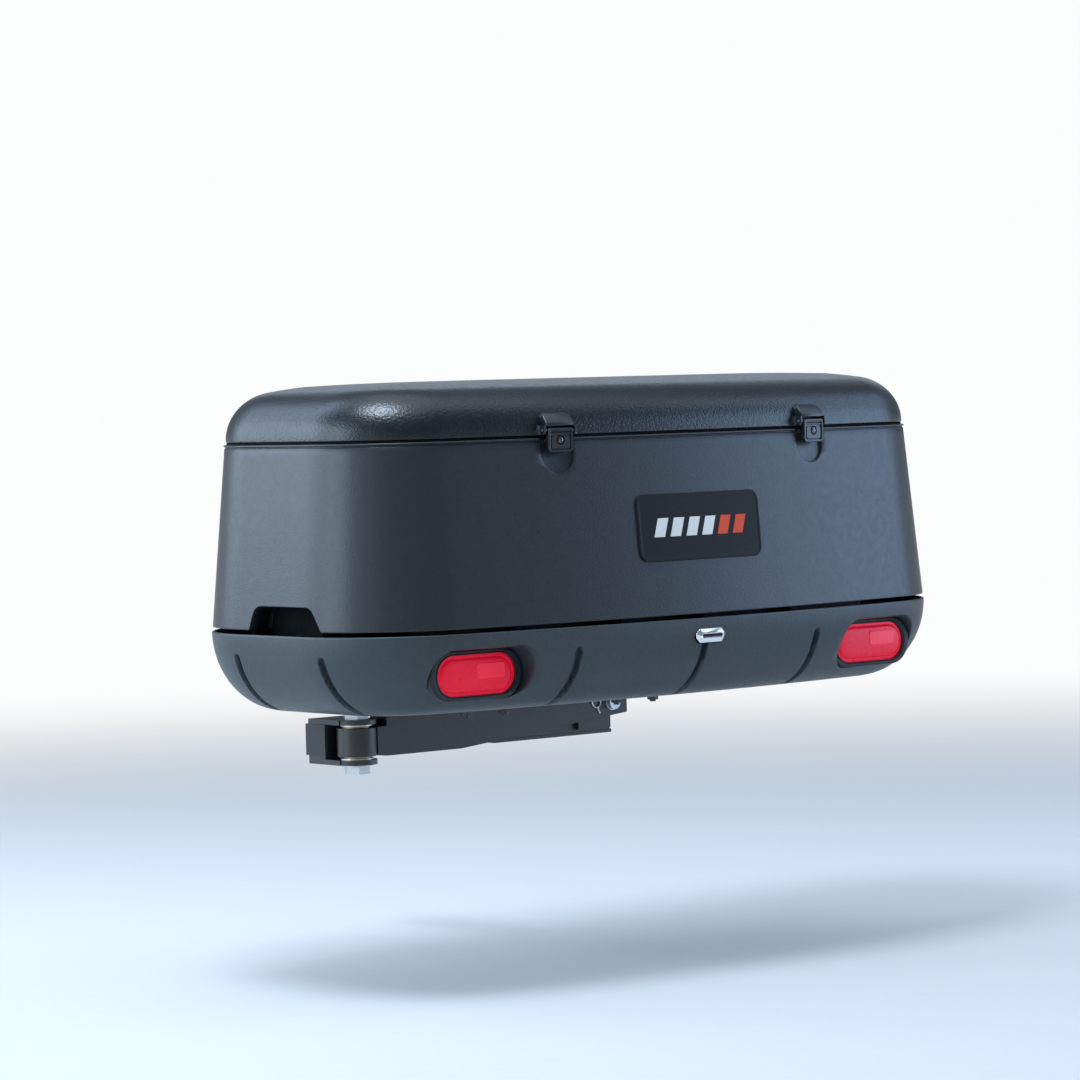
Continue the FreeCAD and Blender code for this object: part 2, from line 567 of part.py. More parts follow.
def make_hitch_frame():
    half = TUBE / 2
    top, low = SHANK_Z + half, SHANK_Z - half
    front, rear = FIXED_ARM_Y + half, FIXED_ARM_Y - half
    inner = half - SHANK_WALL
    shank = box(-half, half, front, SHANK_END_Y, low, top)
    shank = shank.cut(box(-inner, inner, front - 1, SHANK_END_Y + 1, SHANK_Z - inner, SHANK_Z + inner))
    pin_hole = rod(PIN_HOLE_R, V(-40, PIN_HOLE_Y, SHANK_Z), V(40, PIN_HOLE_Y, SHANK_Z))
    save("hitch_shank", shank.cut(pin_hole))
    arm_left, arm_right = FIXED_ARM_X
    save("fixed_arm", square_tube_x(arm_left, arm_right, FIXED_ARM_Y, SHANK_Z, TUBE, FIXED_ARM_WALL))

    web = [(-130, rear + 6), (130, rear + 6), (130, rear + 30), (half, front + 115), (-half, front + 115),
           (-130, rear + 30)]
    save("gusset_plates", prism_xy(web, low - 6, low), prism_xy(web, top, top + 6))

    # two plates reach back from the fixed arm and hold the pivot bolt
    clevis_low, clevis_high = clevis_levels()
    plates = []
    lug_r, edge = 33, 4
    lug_right = PIVOT_X + lug_r
    levels = ((clevis_low - CLEVIS_T, clevis_low, low), (clevis_high, clevis_high + CLEVIS_T, top))
    for z0, z1, weld_z in levels:
        lug = box(arm_left, lug_right, SWING_ARM_Y, front - edge, z0, z1)
        lug = lug.fuse(rod(lug_r, pivot_at(z0), pivot_at(z1)))
        lug = lug.cut(box(arm_left - 30, arm_left, -50, front, z0, z1))
        spacer_low, spacer_high = (z1, weld_z) if weld_z > z1 else (weld_z, z0)
        if spacer_high - spacer_low > 0.01:
            lug = lug.fuse(box(arm_left, lug_right, rear + edge, front - edge, spacer_low, spacer_high))
        lug = lug.removeSplitter().cut(box(arm_left - 30, lug_right + 30, rear, front, low, top))
        plates.append(lug.cut(rod(PIVOT_R, pivot_at(z0 - 1), pivot_at(z1 + 1))))
    save("clevis_plates", *plates)

    bracket = prism_xz([(44, low + 4), (116, low + 4), (116, -20), (104, -9), (56, -9), (44, -20)],
                       rear - CLEVIS_T, rear)
    save("lock_bracket", bracket.cut(lock_pin_bore(0.4)))

    plug = half - FIXED_ARM_WALL            # each end cap has a plug inside the arm

    def cap(x, way):
        flange = box(min(x, x + 3 * way), max(x, x + 3 * way), rear, front, low, top)
        inside = box(min(x, x - 15 * way), max(x, x - 15 * way), FIXED_ARM_Y - plug, FIXED_ARM_Y + plug,
                     SHANK_Z - plug, SHANK_Z + plug)
        return fuse_all([flange, inside])

    save("arm_end_caps", cap(arm_left, -1), cap(arm_right, 1))

    under, over = clevis_low - CLEVIS_T, clevis_high + CLEVIS_T
    head = hexagon(38, pivot_at(under - 15), V(0, 0, 12))
    save("pivot_bolt", fuse_all([head, rod(PIVOT_R, pivot_at(under - 4), pivot_at(over + 11))]))
    nut = hexagon(38, pivot_at(over), V(0, 0, 10))
    save("pivot_nut", nut.cut(rod(PIVOT_R, pivot_at(over - 1), pivot_at(over + 20))))
    save("pivot_washers", tube(24, PIVOT_R + 0.3, pivot_at(under - 3), pivot_at(under)),
         tube(27, PIVOT_R + 0.3, pivot_at(clevis_low), pivot_at(clevis_low + 2.5)),
         tube(27, PIVOT_R + 0.3, pivot_at(clevis_high - 2.5), pivot_at(clevis_high)))


def make_swing_arm():
    y0, y1 = SWING_ARM_Y - SWING_ARM_W / 2, SWING_ARM_Y + SWING_ARM_W / 2
    wall, end = SWING_ARM_WALL, SWING_ARM_END_X
    deep = -78.0
    outer = [(-405, SWING_ARM_TOP), (end, SWING_ARM_TOP), (end, -43), (-250, deep), (-405, deep),
             (-424, SLEEVE_Z[0]), (-424, SLEEVE_Z[1]), (-405, SLEEVE_Z[1])]
    inner = [(-400, SWING_ARM_TOP - wall), (end - wall, SWING_ARM_TOP - wall), (end - wall, -39.4),
             (-250, deep + wall), (-400, deep + wall)]
    girder = prism_xz(outer, y0, y1).cut(prism_xz(inner, y0 + wall, y1 - wall))
    sleeve = rod(SLEEVE_R, pivot_at(SLEEVE_Z[0]), pivot_at(SLEEVE_Z[1]))
    arm = fuse_all([girder, sleeve]).cut(rod(BUSH_R, pivot_at(SLEEVE_Z[0]), pivot_at(SLEEVE_Z[1])))
    save("swing_arm", arm.cut(lock_pin_bore(RUNNING_GAP)))

    def bushing(z_flange, way):
        """Flanged bush; way is +1 when it points up into the sleeve."""
        at = pivot_at(z_flange)
        flange = rod(23, at, at + V(0, 0, -2.5 * way))
        body = rod(BUSH_R, at, at + V(0, 0, 20 * way))
        bore = rod(PIVOT_R + RUNNING_GAP, at + V(0, 0, -5 * way), at + V(0, 0, 25 * way))
        return fuse_all([flange, body]).cut(bore)

    save("pivot_bushings", bushing(SLEEVE_Z[0], 1), bushing(SLEEVE_Z[1], -1))

    holes = [rod(5.25, V(x, y, -10), V(x, y, 40)) for x, y in deck_bolt_places()]
    plates = []
    for x in MOUNT_PLATE_X:
        plate = prism_xy([(x - 60, -130), (x + 60, -130), (x + 60, 170), (x - 60, 170)], SWING_ARM_TOP, 0)
        plates.append(plate.cut(holes))
    save("mounting_plates", *plates)

    floor = DECK_WALL
    rails = []
    reach, half_w, wall = RAIL_LEN / 2, RAIL_W / 2, 2.5
    for y in RAIL_Y:
        rail = box(-reach, reach, y - half_w, y + half_w, floor, floor + RAIL_H)
        rail = rail.cut(box(-reach, reach, y - half_w + wall, y + half_w - wall,
                            floor + wall, floor + RAIL_H - wall))
        post_holes = [rod(4.3, V(x, y, floor - 1), V(x, y, 40)) for x in POST_X]
        rails.append(rail.cut(holes + post_holes))
    save("deck_rails", *rails)

    top = floor + RAIL_H
    bolts, nuts = [], []
    for x, y in deck_bolt_places():
        head = hexagon(17, V(x, y, top), V(0, 0, 6.4))
        bolts.append(fuse_all([head, rod(5, V(x, y, -17), V(x, y, top + 1))]))
        nut = hexagon(17, V(x, y, SWING_ARM_TOP), V(0, 0, -8))
        nuts.append(nut.cut(rod(5, V(x, y, -30), V(x, y, 0))))
    save("deck_bolts", *bolts)
    save("deck_nuts", *nuts)

    posts, long_bolts, knobs = [], [], []
    for x in POST_X:
        for y in RAIL_Y:
            posts.append(tube(9, 4.5, V(x, y, top), V(x, y, TUB_FLOOR_Z)))
            stem = rod(4, V(x, y, floor + 3), V(x, y, TUB_FLOOR_Z + 26))
            long_bolts.append(fuse_all([stem, rod(8, V(x, y, floor + 2.6), V(x, y, floor + 5.6))]))
            seat = TUB_FLOOR_Z + TUB_WALL
            knob = rod(11, V(x, y, seat), V(x, y, seat + 16))
            for turn in (0, 120, 240):
                lobe_x = x + 15 * math.cos(math.radians(turn))
                lobe_y = y + 15 * math.sin(math.radians(turn))
                knob = knob.fuse(rod(8, V(lobe_x, lobe_y, seat + 5), V(lobe_x, lobe_y, seat + 16)))
            knobs.append(knob.removeSplitter().cut(rod(4, V(x, y, 130), V(x, y, 170))))
    save("tub_posts", *posts)
    save("tub_bolts", *long_bolts)
    save("tub_knobs", *knobs)


def make_lock_pin():
    """Sprung pull pin that locks the swing arm to the bracket on the fixed arm."""
    rear = SWING_ARM_Y - SWING_ARM_W / 2
    tip_y = FIXED_ARM_Y - TUBE / 2 - 0.5

    def at(y):
        return V(LOCK_PIN_X, y, LOCK_PIN_Z)

    shaft = rod(LOCK_PIN_R, at(rear - 7), at(tip_y))
    shaft = shaft.makeChamfer(1.2, [e for e in shaft.Edges if e.CenterOfMass.y > tip_y - 1])
    spring_seat, spring_len, turns = rear + 5.2, 22.4, 4
    collar_y = spring_seat + spring_len + 1
    save("swing_lock_pin", fuse_all([shaft, rod(9.5, at(collar_y), at(collar_y + 3))]))
    save("pull_head", rod(12, at(rear - 9), at(rear - 3)).cut(rod(LOCK_PIN_R, at(rear - 7), at(rear))))
    save("lock_washer", tube(14, LOCK_PIN_R + 0.6, at(rear - 2), at(rear)))
    coil = Part.makeLongHelix(spring_len / turns, spring_len, 8.2)
    profile = Part.Wire(Part.makeCircle(0.8, V(8.2, 0, 0), Y_AXIS))
    spring = Part.Wire(coil).makePipeShell([profile], True, True)
    spring.rotate(V(0, 0, 0), X_AXIS, -90)
    spring.translate(at(spring_seat))
    save("lock_spring", spring)

    ring_at = V(LOCK_PIN_X - 36, rear - 1.6, LOCK_PIN_Z + 2)
    ring = Part.makeTorus(9, 1.4, ring_at, Y_AXIS)
    tail = rod(1.4, ring_at + V(2, 0, -9), ring_at + V(7, 0, -19))
    save("clip_ring", ring.fuse(tail))


# ---- build ----------------------------------------------------------------------------
os.makedirs("parts", exist_ok=True)

make_hitch_frame()
make_swing_arm()
make_lock_pin()
save("deck_tray", make_deck_tray())
make_lamps()
make_plate_lamp()
tub_shell = make_tub_shell()
save("tub_shell", tub_shell)
make_badge()
save("lid_seal", slab(TUB_RIM_INSET + 0.6, TUB_RIM_Z, LID_LOW_Z - 0.5).cut(
    slab(TUB_RIM_INSET + 5, TUB_RIM_Z - 1, LID_LOW_Z)))
lid_outer = lid_solid(0)
lid_inner = lid_solid(LID_WALL)
save("lid_shell", lid_outer.cut(lid_inner))
make_latches(lid_outer, tub_shell)
make_hinges(lid_outer, tub_shell)
tub_inner = loft([(TUB_LOW_INSET + TUB_WALL, TUB_FLOOR_Z + TUB_WALL),
                  (TUB_RIM_INSET + TUB_WALL, TUB_RIM_Z)], True)
make_struts(tub_inner, lid_inner)
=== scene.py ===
"""Looks of the enclosed hitch cargo carrier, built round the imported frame.

Lengths inside the shape functions are in millimetres in the deck frame: the origin is under
the middle of the deck tray, +X to the passenger side, +Y towards the vehicle, +Z up.  row()
turns them into metres in the row frame, the frame of every Blender object here.
"""
import json
import math

import bmesh
import bpy
from mathutils import Matrix, Vector


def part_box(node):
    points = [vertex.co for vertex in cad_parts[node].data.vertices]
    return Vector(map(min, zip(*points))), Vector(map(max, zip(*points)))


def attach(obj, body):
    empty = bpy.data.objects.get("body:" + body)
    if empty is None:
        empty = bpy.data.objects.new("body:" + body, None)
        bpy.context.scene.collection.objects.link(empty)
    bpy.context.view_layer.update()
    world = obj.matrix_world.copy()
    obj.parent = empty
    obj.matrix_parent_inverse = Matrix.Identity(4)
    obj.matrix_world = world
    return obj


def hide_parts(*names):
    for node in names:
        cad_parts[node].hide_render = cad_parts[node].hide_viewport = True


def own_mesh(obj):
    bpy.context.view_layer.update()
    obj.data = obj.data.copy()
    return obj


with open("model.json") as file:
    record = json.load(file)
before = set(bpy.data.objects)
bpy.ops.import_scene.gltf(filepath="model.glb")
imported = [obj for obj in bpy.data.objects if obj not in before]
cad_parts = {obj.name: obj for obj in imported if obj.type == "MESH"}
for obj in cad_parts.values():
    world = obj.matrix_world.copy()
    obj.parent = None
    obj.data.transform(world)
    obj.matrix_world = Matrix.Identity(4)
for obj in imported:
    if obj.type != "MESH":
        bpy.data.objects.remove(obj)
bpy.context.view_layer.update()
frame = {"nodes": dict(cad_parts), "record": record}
nodes = frame["nodes"]

MM = 0.001
HALF_WIDTH, FRONT_Y, REAR_Y = 647.5, 281.0, -313.5
CORNER_R, BOW_R = 196.0, 3142.0
BOW_CENTRE_Y = REAR_Y + BOW_R
CORNER_X = HALF_WIDTH - CORNER_R
CORNER_FRONT_Y = FRONT_Y - CORNER_R
CORNER_REAR_Y = BOW_CENTRE_Y - math.sqrt((BOW_R - CORNER_R) ** 2 - CORNER_X ** 2)
deck_low, deck_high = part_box("deck_tray")
BASE = Vector(((deck_low.x + deck_high.x) / 2, deck_high.y - FRONT_Y * MM, deck_low.z))

DECK_RIM_Z, DECK_EDGE_W, DECK_WALL = 130.0, 112.0, 4.5
TUB_FLOOR_Z, TUB_RIM_Z = 137.0, 428.0
TUB_LOW_INSET, TUB_RIM_INSET, TUB_WALL = 1.5, 29.0, 5.0
LID_LOW_Z, LID_INSET, LID_WALL = 432.0, 31.0, 4.5
LID_EDGE_W, LID_EDGE_H = 85.0, 78.0
LAMP_X, LAMP_Z = 430.0, 63.0
LATCH_X = 275.0
BADGE_X, BADGE_Z = 3.0, 278.0
PLATE_LAMP_X, PLATE_LAMP_Z = 8.0, 101.0


def row(x, y, z):
    return Vector((x, y, z)) * MM + BASE


# ---- camera ---------------------------------------------------------------------------
CAMERA_LENS_MM, CAMERA_AT = 143.05, (-4.674, -5.398, 0.5115)
CAMERA_TURN, CAMERA_TILT, CAMERA_ROLL = -40.386, -2.0705, -1.5547


def make_camera():
    """The photograph's camera, placed in metres from under the middle of the deck."""
    data = bpy.data.cameras.new("camera")
    data.lens = CAMERA_LENS_MM
    data.sensor_width = 36.0
    data.clip_end = 200.0
    camera = bpy.data.objects.new("camera", data)
    bpy.context.scene.collection.objects.link(camera)
    camera.rotation_mode = "QUATERNION"
    turn = Matrix.Rotation(math.radians(CAMERA_TURN), 3, "Z")
    pitch = Matrix.Rotation(math.radians(90.0 + CAMERA_TILT), 3, "X")
    roll = Matrix.Rotation(math.radians(CAMERA_ROLL), 3, "Z")
    camera.rotation_quaternion = (turn @ pitch @ roll).to_quaternion()
    camera.location = BASE + Vector(CAMERA_AT)
    bpy.context.scene.camera = camera


# ---- light and floor ------------------------------------------------------------------
FLOOR_DROP = 0.40           # the pin hole sits this far above the floor, as on a vehicle
FLOOR_RADIUS, FLOOR_FADE, FLOOR_TONE = 70.0, (2.2, 7.0), (0.60, 0.63)
BACKDROP = (0.97, 0.975, 0.98, 1.0)


def node_tree(owner):
    owner.use_nodes = True
    owner.node_tree.nodes.clear()
    return owner.node_tree


def add_node(tree, kind, **values):
    """New node; plain names set its properties, names of input sockets set their values."""
    node = tree.nodes.new(kind)
    for key, value in values.items():
        name = key.replace("_", " ")
        if hasattr(node, key):
            setattr(node, key, value)
        else:
            sockets = [s for s in node.inputs if s.name.lower() == name.lower() and s.enabled]
            sockets[0].default_value = value
    return node


def make_world():
    world = bpy.data.worlds.new("studio")
    bpy.context.scene.world = world
    tree = node_tree(world)
    seen = add_node(tree, "ShaderNodeBackground", Color=BACKDROP, Strength=1.0)
    fill = add_node(tree, "ShaderNodeBackground", Color=(0.72, 0.86, 1.0, 1.0), Strength=0.30)
    ray = add_node(tree, "ShaderNodeLightPath")
    mix = add_node(tree, "ShaderNodeMixShader")
    out = add_node(tree, "ShaderNodeOutputWorld")
    tree.links.new(ray.outputs["Is Camera Ray"], mix.inputs[0])
    tree.links.new(fill.outputs[0], mix.inputs[1])
    tree.links.new(seen.outputs[0], mix.inputs[2])
    tree.links.new(mix.outputs[0], out.inputs[0])


def soft_box(name, azimuth, elevation, distance, size, radiance, colour):
    """Area light that faces the object; azimuth is measured from +X towards +Y."""
    data = bpy.data.lights.new(name, "AREA")
    data.shape = "RECTANGLE"
    data.size, data.size_y = size
    data.energy = radiance * math.pi * size[0] * size[1]
    data.color = colour
    light = bpy.data.objects.new(name, data)
    bpy.context.scene.collection.objects.link(light)
    a, e = math.radians(azimuth), math.radians(elevation)
    away = Vector((math.cos(a) * math.cos(e), math.sin(a) * math.cos(e), math.sin(e)))
    light.location = row(0, 0, 260) + away * distance
    light.rotation_mode = "QUATERNION"
    light.rotation_quaternion = away.to_track_quat("Z", "Y")
    light.visible_camera = False


def make_lights():
    soft_box("box_left", 132, 15, 4.4, (3.4, 2.3), 5.0, (0.66, 0.82, 1.0))
    soft_box("box_left_high", 117, 44, 4.4, (2.0, 2.2), 3.6, (0.62, 0.78, 1.0))
    soft_box("box_corner", 170, 13, 4.6, (2.0, 2.6), 5.9, (0.66, 0.84, 1.0))
    soft_box("box_tail", 202, 10, 4.6, (1.4, 2.4), 0.9, (0.66, 0.85, 1.0))
    soft_box("box_right", -32, 9, 4.6, (2.4, 2.5), 4.5, (0.45, 0.67, 1.0))
    soft_box("box_right_high", -16, 31, 4.6, (1.5, 1.3), 3.0, (0.45, 0.66, 1.0))
    soft_box("box_glint", -27, 46, 4.6, (1.3, 0.8), 1.5, (0.85, 0.90, 1.0))
    soft_box("box_back", 46, 20, 6.0, (4.0, 1.6), 0.9, (0.70, 0.84, 1.0))
    soft_box("box_top", 200, 63, 3.2, (1.05, 0.95), 28.0, (0.70, 0.84, 1.0))
    soft_box("box_high", -60, 86, 6.5, (7.0, 7.0), 1.4, (0.82, 0.91, 1.0))


def make_floor():
    """Pale matt disc that fades into the backdrop."""
    mesh = bpy.data.meshes.new("floor")
    bm = bmesh.new()
    bmesh.ops.create_circle(bm, cap_ends=True, segments=96, radius=FLOOR_RADIUS)
    bm.to_mesh(mesh)
    bm.free()
    floor = bpy.data.objects.new("floor", mesh)
    bpy.context.scene.collection.objects.link(floor)
    floor.location = (BASE.x, BASE.y, -FLOOR_DROP)
    material = bpy.data.materials.new("floor")
    tree = node_tree(material)
    place = add_node(tree, "ShaderNodeTexCoord")
    length = add_node(tree, "ShaderNodeVectorMath", operation="LENGTH")
    fade = add_node(tree, "ShaderNodeMapRange", interpolation_type="SMOOTHSTEP")
    for socket, value in zip(("From Min", "From Max"), FLOOR_FADE):
        fade.inputs[socket].default_value = value
    speck = add_node(tree, "ShaderNodeTexNoise", Scale=40.0, Detail=3.0)
    tone = add_node(tree, "ShaderNodeMapRange")
    for socket, value in zip(("To Min", "To Max"), FLOOR_TONE):
        tone.inputs[socket].default_value = value
    paint = add_node(tree, "ShaderNodeBsdfPrincipled", Roughness=0.75)
    glow = add_node(tree, "ShaderNodeEmission", Color=BACKDROP)
    mix = add_node(tree, "ShaderNodeMixShader")
    out = add_node(tree, "ShaderNodeOutputMaterial")
    tree.links.new(place.outputs["Object"], length.inputs[0])
    tree.links.new(length.outputs["Value"], fade.inputs["Value"])
    tree.links.new(place.outputs["Object"], speck.inputs["Vector"])
    tree.links.new(speck.outputs[0], tone.inputs["Value"])
    tree.links.new(tone.outputs[0], paint.inputs["Base Color"])
    tree.links.new(fade.outputs[0], mix.inputs[0])
    tree.links.new(paint.outputs[0], mix.inputs[1])
    tree.links.new(glow.outputs[0], mix.inputs[2])
    tree.links.new(mix.outputs[0], out.inputs[0])
    mesh.materials.append(material)


# ---- materials ------------------------------------------------------------------------
def finish(name, colour, rough, metal=0.0, grain_mm=0.8, grain=0.06, tone=0.12, span=0.06,
           scuffs=0.0, scuff_colour=(0.30, 0.31, 0.32), rounded_mm=0.0, **sockets):
    """Procedural material: mottled colour, uneven gloss, fine grain, scuffs and soft edges.

    grain_mm is the size of the grain and grain its height in millimetres; rounded_mm softens
    the look of cut edges.  Other names set the shader's own sockets.
    """
    material = bpy.data.materials.new("look_" + name)
    tree = node_tree(material)
    link = tree.links.new
    place = add_node(tree, "ShaderNodeTexCoord")
    shader = add_node(tree, "ShaderNodeBsdfPrincipled", Metallic=metal)
    for key, value in sockets.items():
        shader.inputs[key.replace("_", " ")].default_value = value
    out = add_node(tree, "ShaderNodeOutputMaterial")
    link(shader.outputs[0], out.inputs[0])

    def noise(scale, detail=3.0, stretch=None):
        node = add_node(tree, "ShaderNodeTexNoise", Scale=scale, Detail=detail)
        if stretch:
            mapping = add_node(tree, "ShaderNodeMapping")
            mapping.inputs["Scale"].default_value = stretch
            mapping.inputs["Rotation"].default_value = (0.4, 0.7, 0.2)
            link(place.outputs["Object"], mapping.inputs["Vector"])
            link(mapping.outputs[0], node.inputs["Vector"])
        else:
            link(place.outputs["Object"], node.inputs["Vector"])
        return node.outputs[0]

    def spread(value, low, high, start=0.3, end=0.7):
        node = add_node(tree, "ShaderNodeMapRange")
        for socket, number in (("From Min", start), ("From Max", end), ("To Min", low), ("To Max", high)):
            node.inputs[socket].default_value = number
        link(value, node.inputs["Value"])
        return node.outputs[0]

    def blend(factor, first, second):
        node = add_node(tree, "ShaderNodeMix", data_type="RGBA")
        sockets_in = [s for s in node.inputs if s.type == "RGBA"]
        for socket, value in zip(sockets_in, (first, second)):
            if isinstance(value, tuple):
                socket.default_value = (*value, 1.0)
            else:
                link(value, socket)
        link(factor, node.inputs[0])
        return [s for s in node.outputs if s.type == "RGBA"][0]

    darker = tuple(c * (1 - tone) for c in colour)
    lighter = tuple(min(1.0, c * (1 + tone)) for c in colour)
    cloud = noise(7.0, 4.0)
    shade = blend(spread(cloud, 0.0, 1.0), darker, lighter)
    grains = noise(1000.0 / grain_mm, 2.0)
    shade = blend(spread(grains, 0.0, 0.5, 0.55, 0.75), shade, tuple(min(1.0, c * 1.7) for c in colour))
    gloss = spread(noise(85.0), rough - span, rough + span)
    if scuffs:
        marks = spread(noise(9.0, 5.0, (5.0, 60.0, 30.0)), 0.0, scuffs, 0.64, 0.74)
        shade = blend(marks, shade, scuff_colour)
        lift = add_node(tree, "ShaderNodeMath", operation="ADD")
        link(gloss, lift.inputs[0])
        link(marks, lift.inputs[1])
        gloss = lift.outputs[0]
    link(shade, shader.inputs["Base Color"])
    link(gloss, shader.inputs["Roughness"])
    bump = add_node(tree, "ShaderNodeBump", Strength=1.0)
    bump.inputs["Distance"].default_value = grain * MM
    link(grains, bump.inputs["Height"])
    wave = add_node(tree, "ShaderNodeBump", Strength=1.0)
    wave.inputs["Distance"].default_value = 0.03 * MM
    link(noise(45.0, 2.0), wave.inputs["Height"])
    link(wave.outputs[0], bump.inputs["Normal"])
    if rounded_mm:
        soft = add_node(tree, "ShaderNodeBevel", samples=4)
        soft.inputs["Radius"].default_value = rounded_mm * MM
        link(soft.outputs[0], wave.inputs["Normal"])
    link(bump.outputs[0], shader.inputs["Normal"])
    return material


LOOKS = {
    "tub_plastic": finish("tub_plastic", (0.0110, 0.0145, 0.0195), 0.38, grain_mm=3.2, grain=0.22,
                          tone=0.06, span=0.03, scuffs=0.04, rounded_mm=1.6),
    "lid_plastic": finish("lid_plastic", (0.0022, 0.0048, 0.0075), 0.32, grain_mm=4.2, grain=0.62, tone=0.10,
                          span=0.03, scuffs=0.03),
    "deck_plastic": finish("deck_plastic", (0.0230, 0.0340, 0.0410), 0.44, grain_mm=3.6, grain=0.38,
                           tone=0.08, span=0.03, scuffs=0.05, rounded_mm=1.6),
    "black_trim": finish("black_trim", (0.008, 0.011, 0.017), 0.32, grain_mm=0.5, grain=0.02, tone=0.06,
                         span=0.03, scuffs=0.04),
    "seal_rubber": finish("seal_rubber", (0.008, 0.009, 0.010), 0.60, grain_mm=0.4, grain=0.03),
    "frame_steel": finish("frame_steel", (0.009, 0.009, 0.010), 0.36, grain_mm=2.6, grain=0.10, scuffs=0.22,
                          scuff_colour=(0.16, 0.14, 0.12), Coat_Weight=0.25, Coat_Roughness=0.25),
    "zinc_steel": finish("zinc_steel", (0.52, 0.54, 0.57), 0.34, 1.0, grain_mm=1.4, grain=0.02, scuffs=0.15,
                         scuff_colour=(0.32, 0.32, 0.31)),
    "spring_steel": finish("spring_steel", (0.40, 0.41, 0.43), 0.30, 1.0, grain_mm=0.5, grain=0.01),
    "bronze": finish("bronze", (0.55, 0.36, 0.16), 0.42, 1.0, grain_mm=0.5, grain=0.02),
    "chrome_trim": finish("chrome_trim", (0.86, 0.87, 0.90), 0.09, 1.0, grain_mm=1.0, grain=0.004, tone=0.03,
                          span=0.03),
    "rod_chrome": finish("rod_chrome", (0.80, 0.81, 0.83), 0.12, 1.0, grain_mm=0.8, grain=0.003, tone=0.03,
                         span=0.03),
    "red_lens": finish("red_lens", (0.66, 0.0035, 0.026), 0.30, grain_mm=2.0, grain=0.01, tone=0.05,
                       span=0.04, Specular_IOR_Level=0.25, Emission_Color=(0.80, 0.008, 0.040, 1.0),
                       Emission_Strength=0.30),
    "clear_lens": finish("clear_lens", (0.80, 0.82, 0.86), 0.10, grain_mm=1.0, grain=0.01, tone=0.03,
                         span=0.03, Transmission_Weight=0.6),
    "lamp_board": finish("lamp_board", (0.62, 0.60, 0.55), 0.40, grain_mm=1.0, grain=0.02),
    "badge_face": finish("badge_face", (0.0120, 0.0115, 0.0120), 0.50, grain_mm=0.6, grain=0.012, tone=0.05,
                         span=0.02, scuffs=0.03, Specular_IOR_Level=0.14),
    "strut_paint": finish("strut_paint", (0.012, 0.012, 0.013), 0.26, grain_mm=1.5, grain=0.02, scuffs=0.10),
}
WHITE_INK = finish("white_ink", (0.70, 0.69, 0.66), 0.42, grain_mm=0.5, grain=0.008, tone=0.04)
RED_FACET = finish("red_facet", (0.72, 0.006, 0.034), 0.22, grain_mm=2.0, grain=0.01, tone=0.05, span=0.04,
                   Specular_IOR_Level=0.35, Emission_Color=(0.85, 0.012, 0.050, 1.0), Emission_Strength=0.36)
MATTE_BLACK = finish("matte_black", (0.0025, 0.0030, 0.0036), 0.85, grain_mm=1.0, grain=0.05,
                     Specular_IOR_Level=0.1)
DARK_NICKEL = finish("dark_nickel", (0.13, 0.135, 0.15), 0.20, 1.0, grain_mm=0.5, grain=0.004,
                     tone=0.05, span=0.03)
DARK_GLASS = finish("dark_glass", (0.012, 0.014, 0.035), 0.10, grain_mm=1.0, grain=0.006,
                    tone=0.05, span=0.03, Coat_Weight=0.5, Coat_Roughness=0.04)
ORANGE_INK = finish("orange_ink", (0.66, 0.065, 0.018), 0.45, grain_mm=0.5, grain=0.008, tone=0.05,
                    Specular_IOR_Level=0.2)


def dress_cad_nodes():
    """Give every CAD node its material and, on the hard parts, small rounded edges."""
    rounded = {"frame_steel": 0.9, "zinc_steel": 0.35, "black_trim": 0.5, "chrome_trim": 0.35,
               "badge_face": 0.7, "bronze": 0.3}
    slots = {}
    for entry in frame["record"]["materials"]:
        for name in entry.get("nodes", []):
            slots[name] = entry["slot"]
    for name, obj in nodes.items():
        slot = slots.get(name) or obj.data.materials[0].name.split(".")[0]
        obj.data.materials.clear()
        obj.data.materials.append(LOOKS[slot])
        if slot in rounded and name != "clip_ring":
            weld = obj.modifiers.new("weld", "WELD")
            weld.merge_threshold = 0.00002
            bevel = obj.modifiers.new("edges", "BEVEL")
            bevel.width = rounded[slot] * MM
            bevel.segments = 2
            bevel.limit_method = "ANGLE"
            bevel.angle_limit = math.radians(38)
            bevel.harden_normals = False
            normals = obj.modifiers.new("normals", "WEIGHTED_NORMAL")
            normals.keep_sharp = True


# ---- mesh helpers ---------------------------------------------------------------------
def piece(name, bm, look, body, replaces=(), smooth_deg=35.0):
    """Turn a bmesh in the row frame into a piece that rides on a body."""
    bmesh.ops.remove_doubles(bm, verts=bm.verts, dist=0.000005)
    bmesh.ops.recalc_face_normals(bm, faces=bm.faces)
    mesh = bpy.data.meshes.new(name)
    bm.to_mesh(mesh)
    bm.free()
    mesh.materials.append(look)
    obj = bpy.data.objects.new(name, mesh)
    bpy.context.scene.collection.objects.link(obj)
    shade(mesh, smooth_deg)
    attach(obj, body)
    if replaces:
        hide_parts(*replaces)
    if smooth_deg <= 35.0:
        normals = obj.modifiers.new("normals", "WEIGHTED_NORMAL")
        normals.keep_sharp = True
    return obj


def shade(mesh, smooth_deg):
    for polygon in mesh.polygons:
        polygon.use_smooth = True
    mesh.set_sharp_from_angle(angle=math.radians(smooth_deg))


def skin(bm, rings, cap_first=True, cap_last=True):
    """Closed tube of quads through rings of points, with flat caps."""
    made = [[bm.verts.new(point) for point in ring] for ring in rings]
    for one, two in zip(made, made[1:]):
        for k in range(len(one)):
            n = (k + 1) % len(one)
            bm.faces.new((one[k], one[n], two[n], two[k]))
    if cap_first:
        bm.faces.new(list(reversed(made[0])))
    if cap_last:
        bm.faces.new(made[-1])
    return made


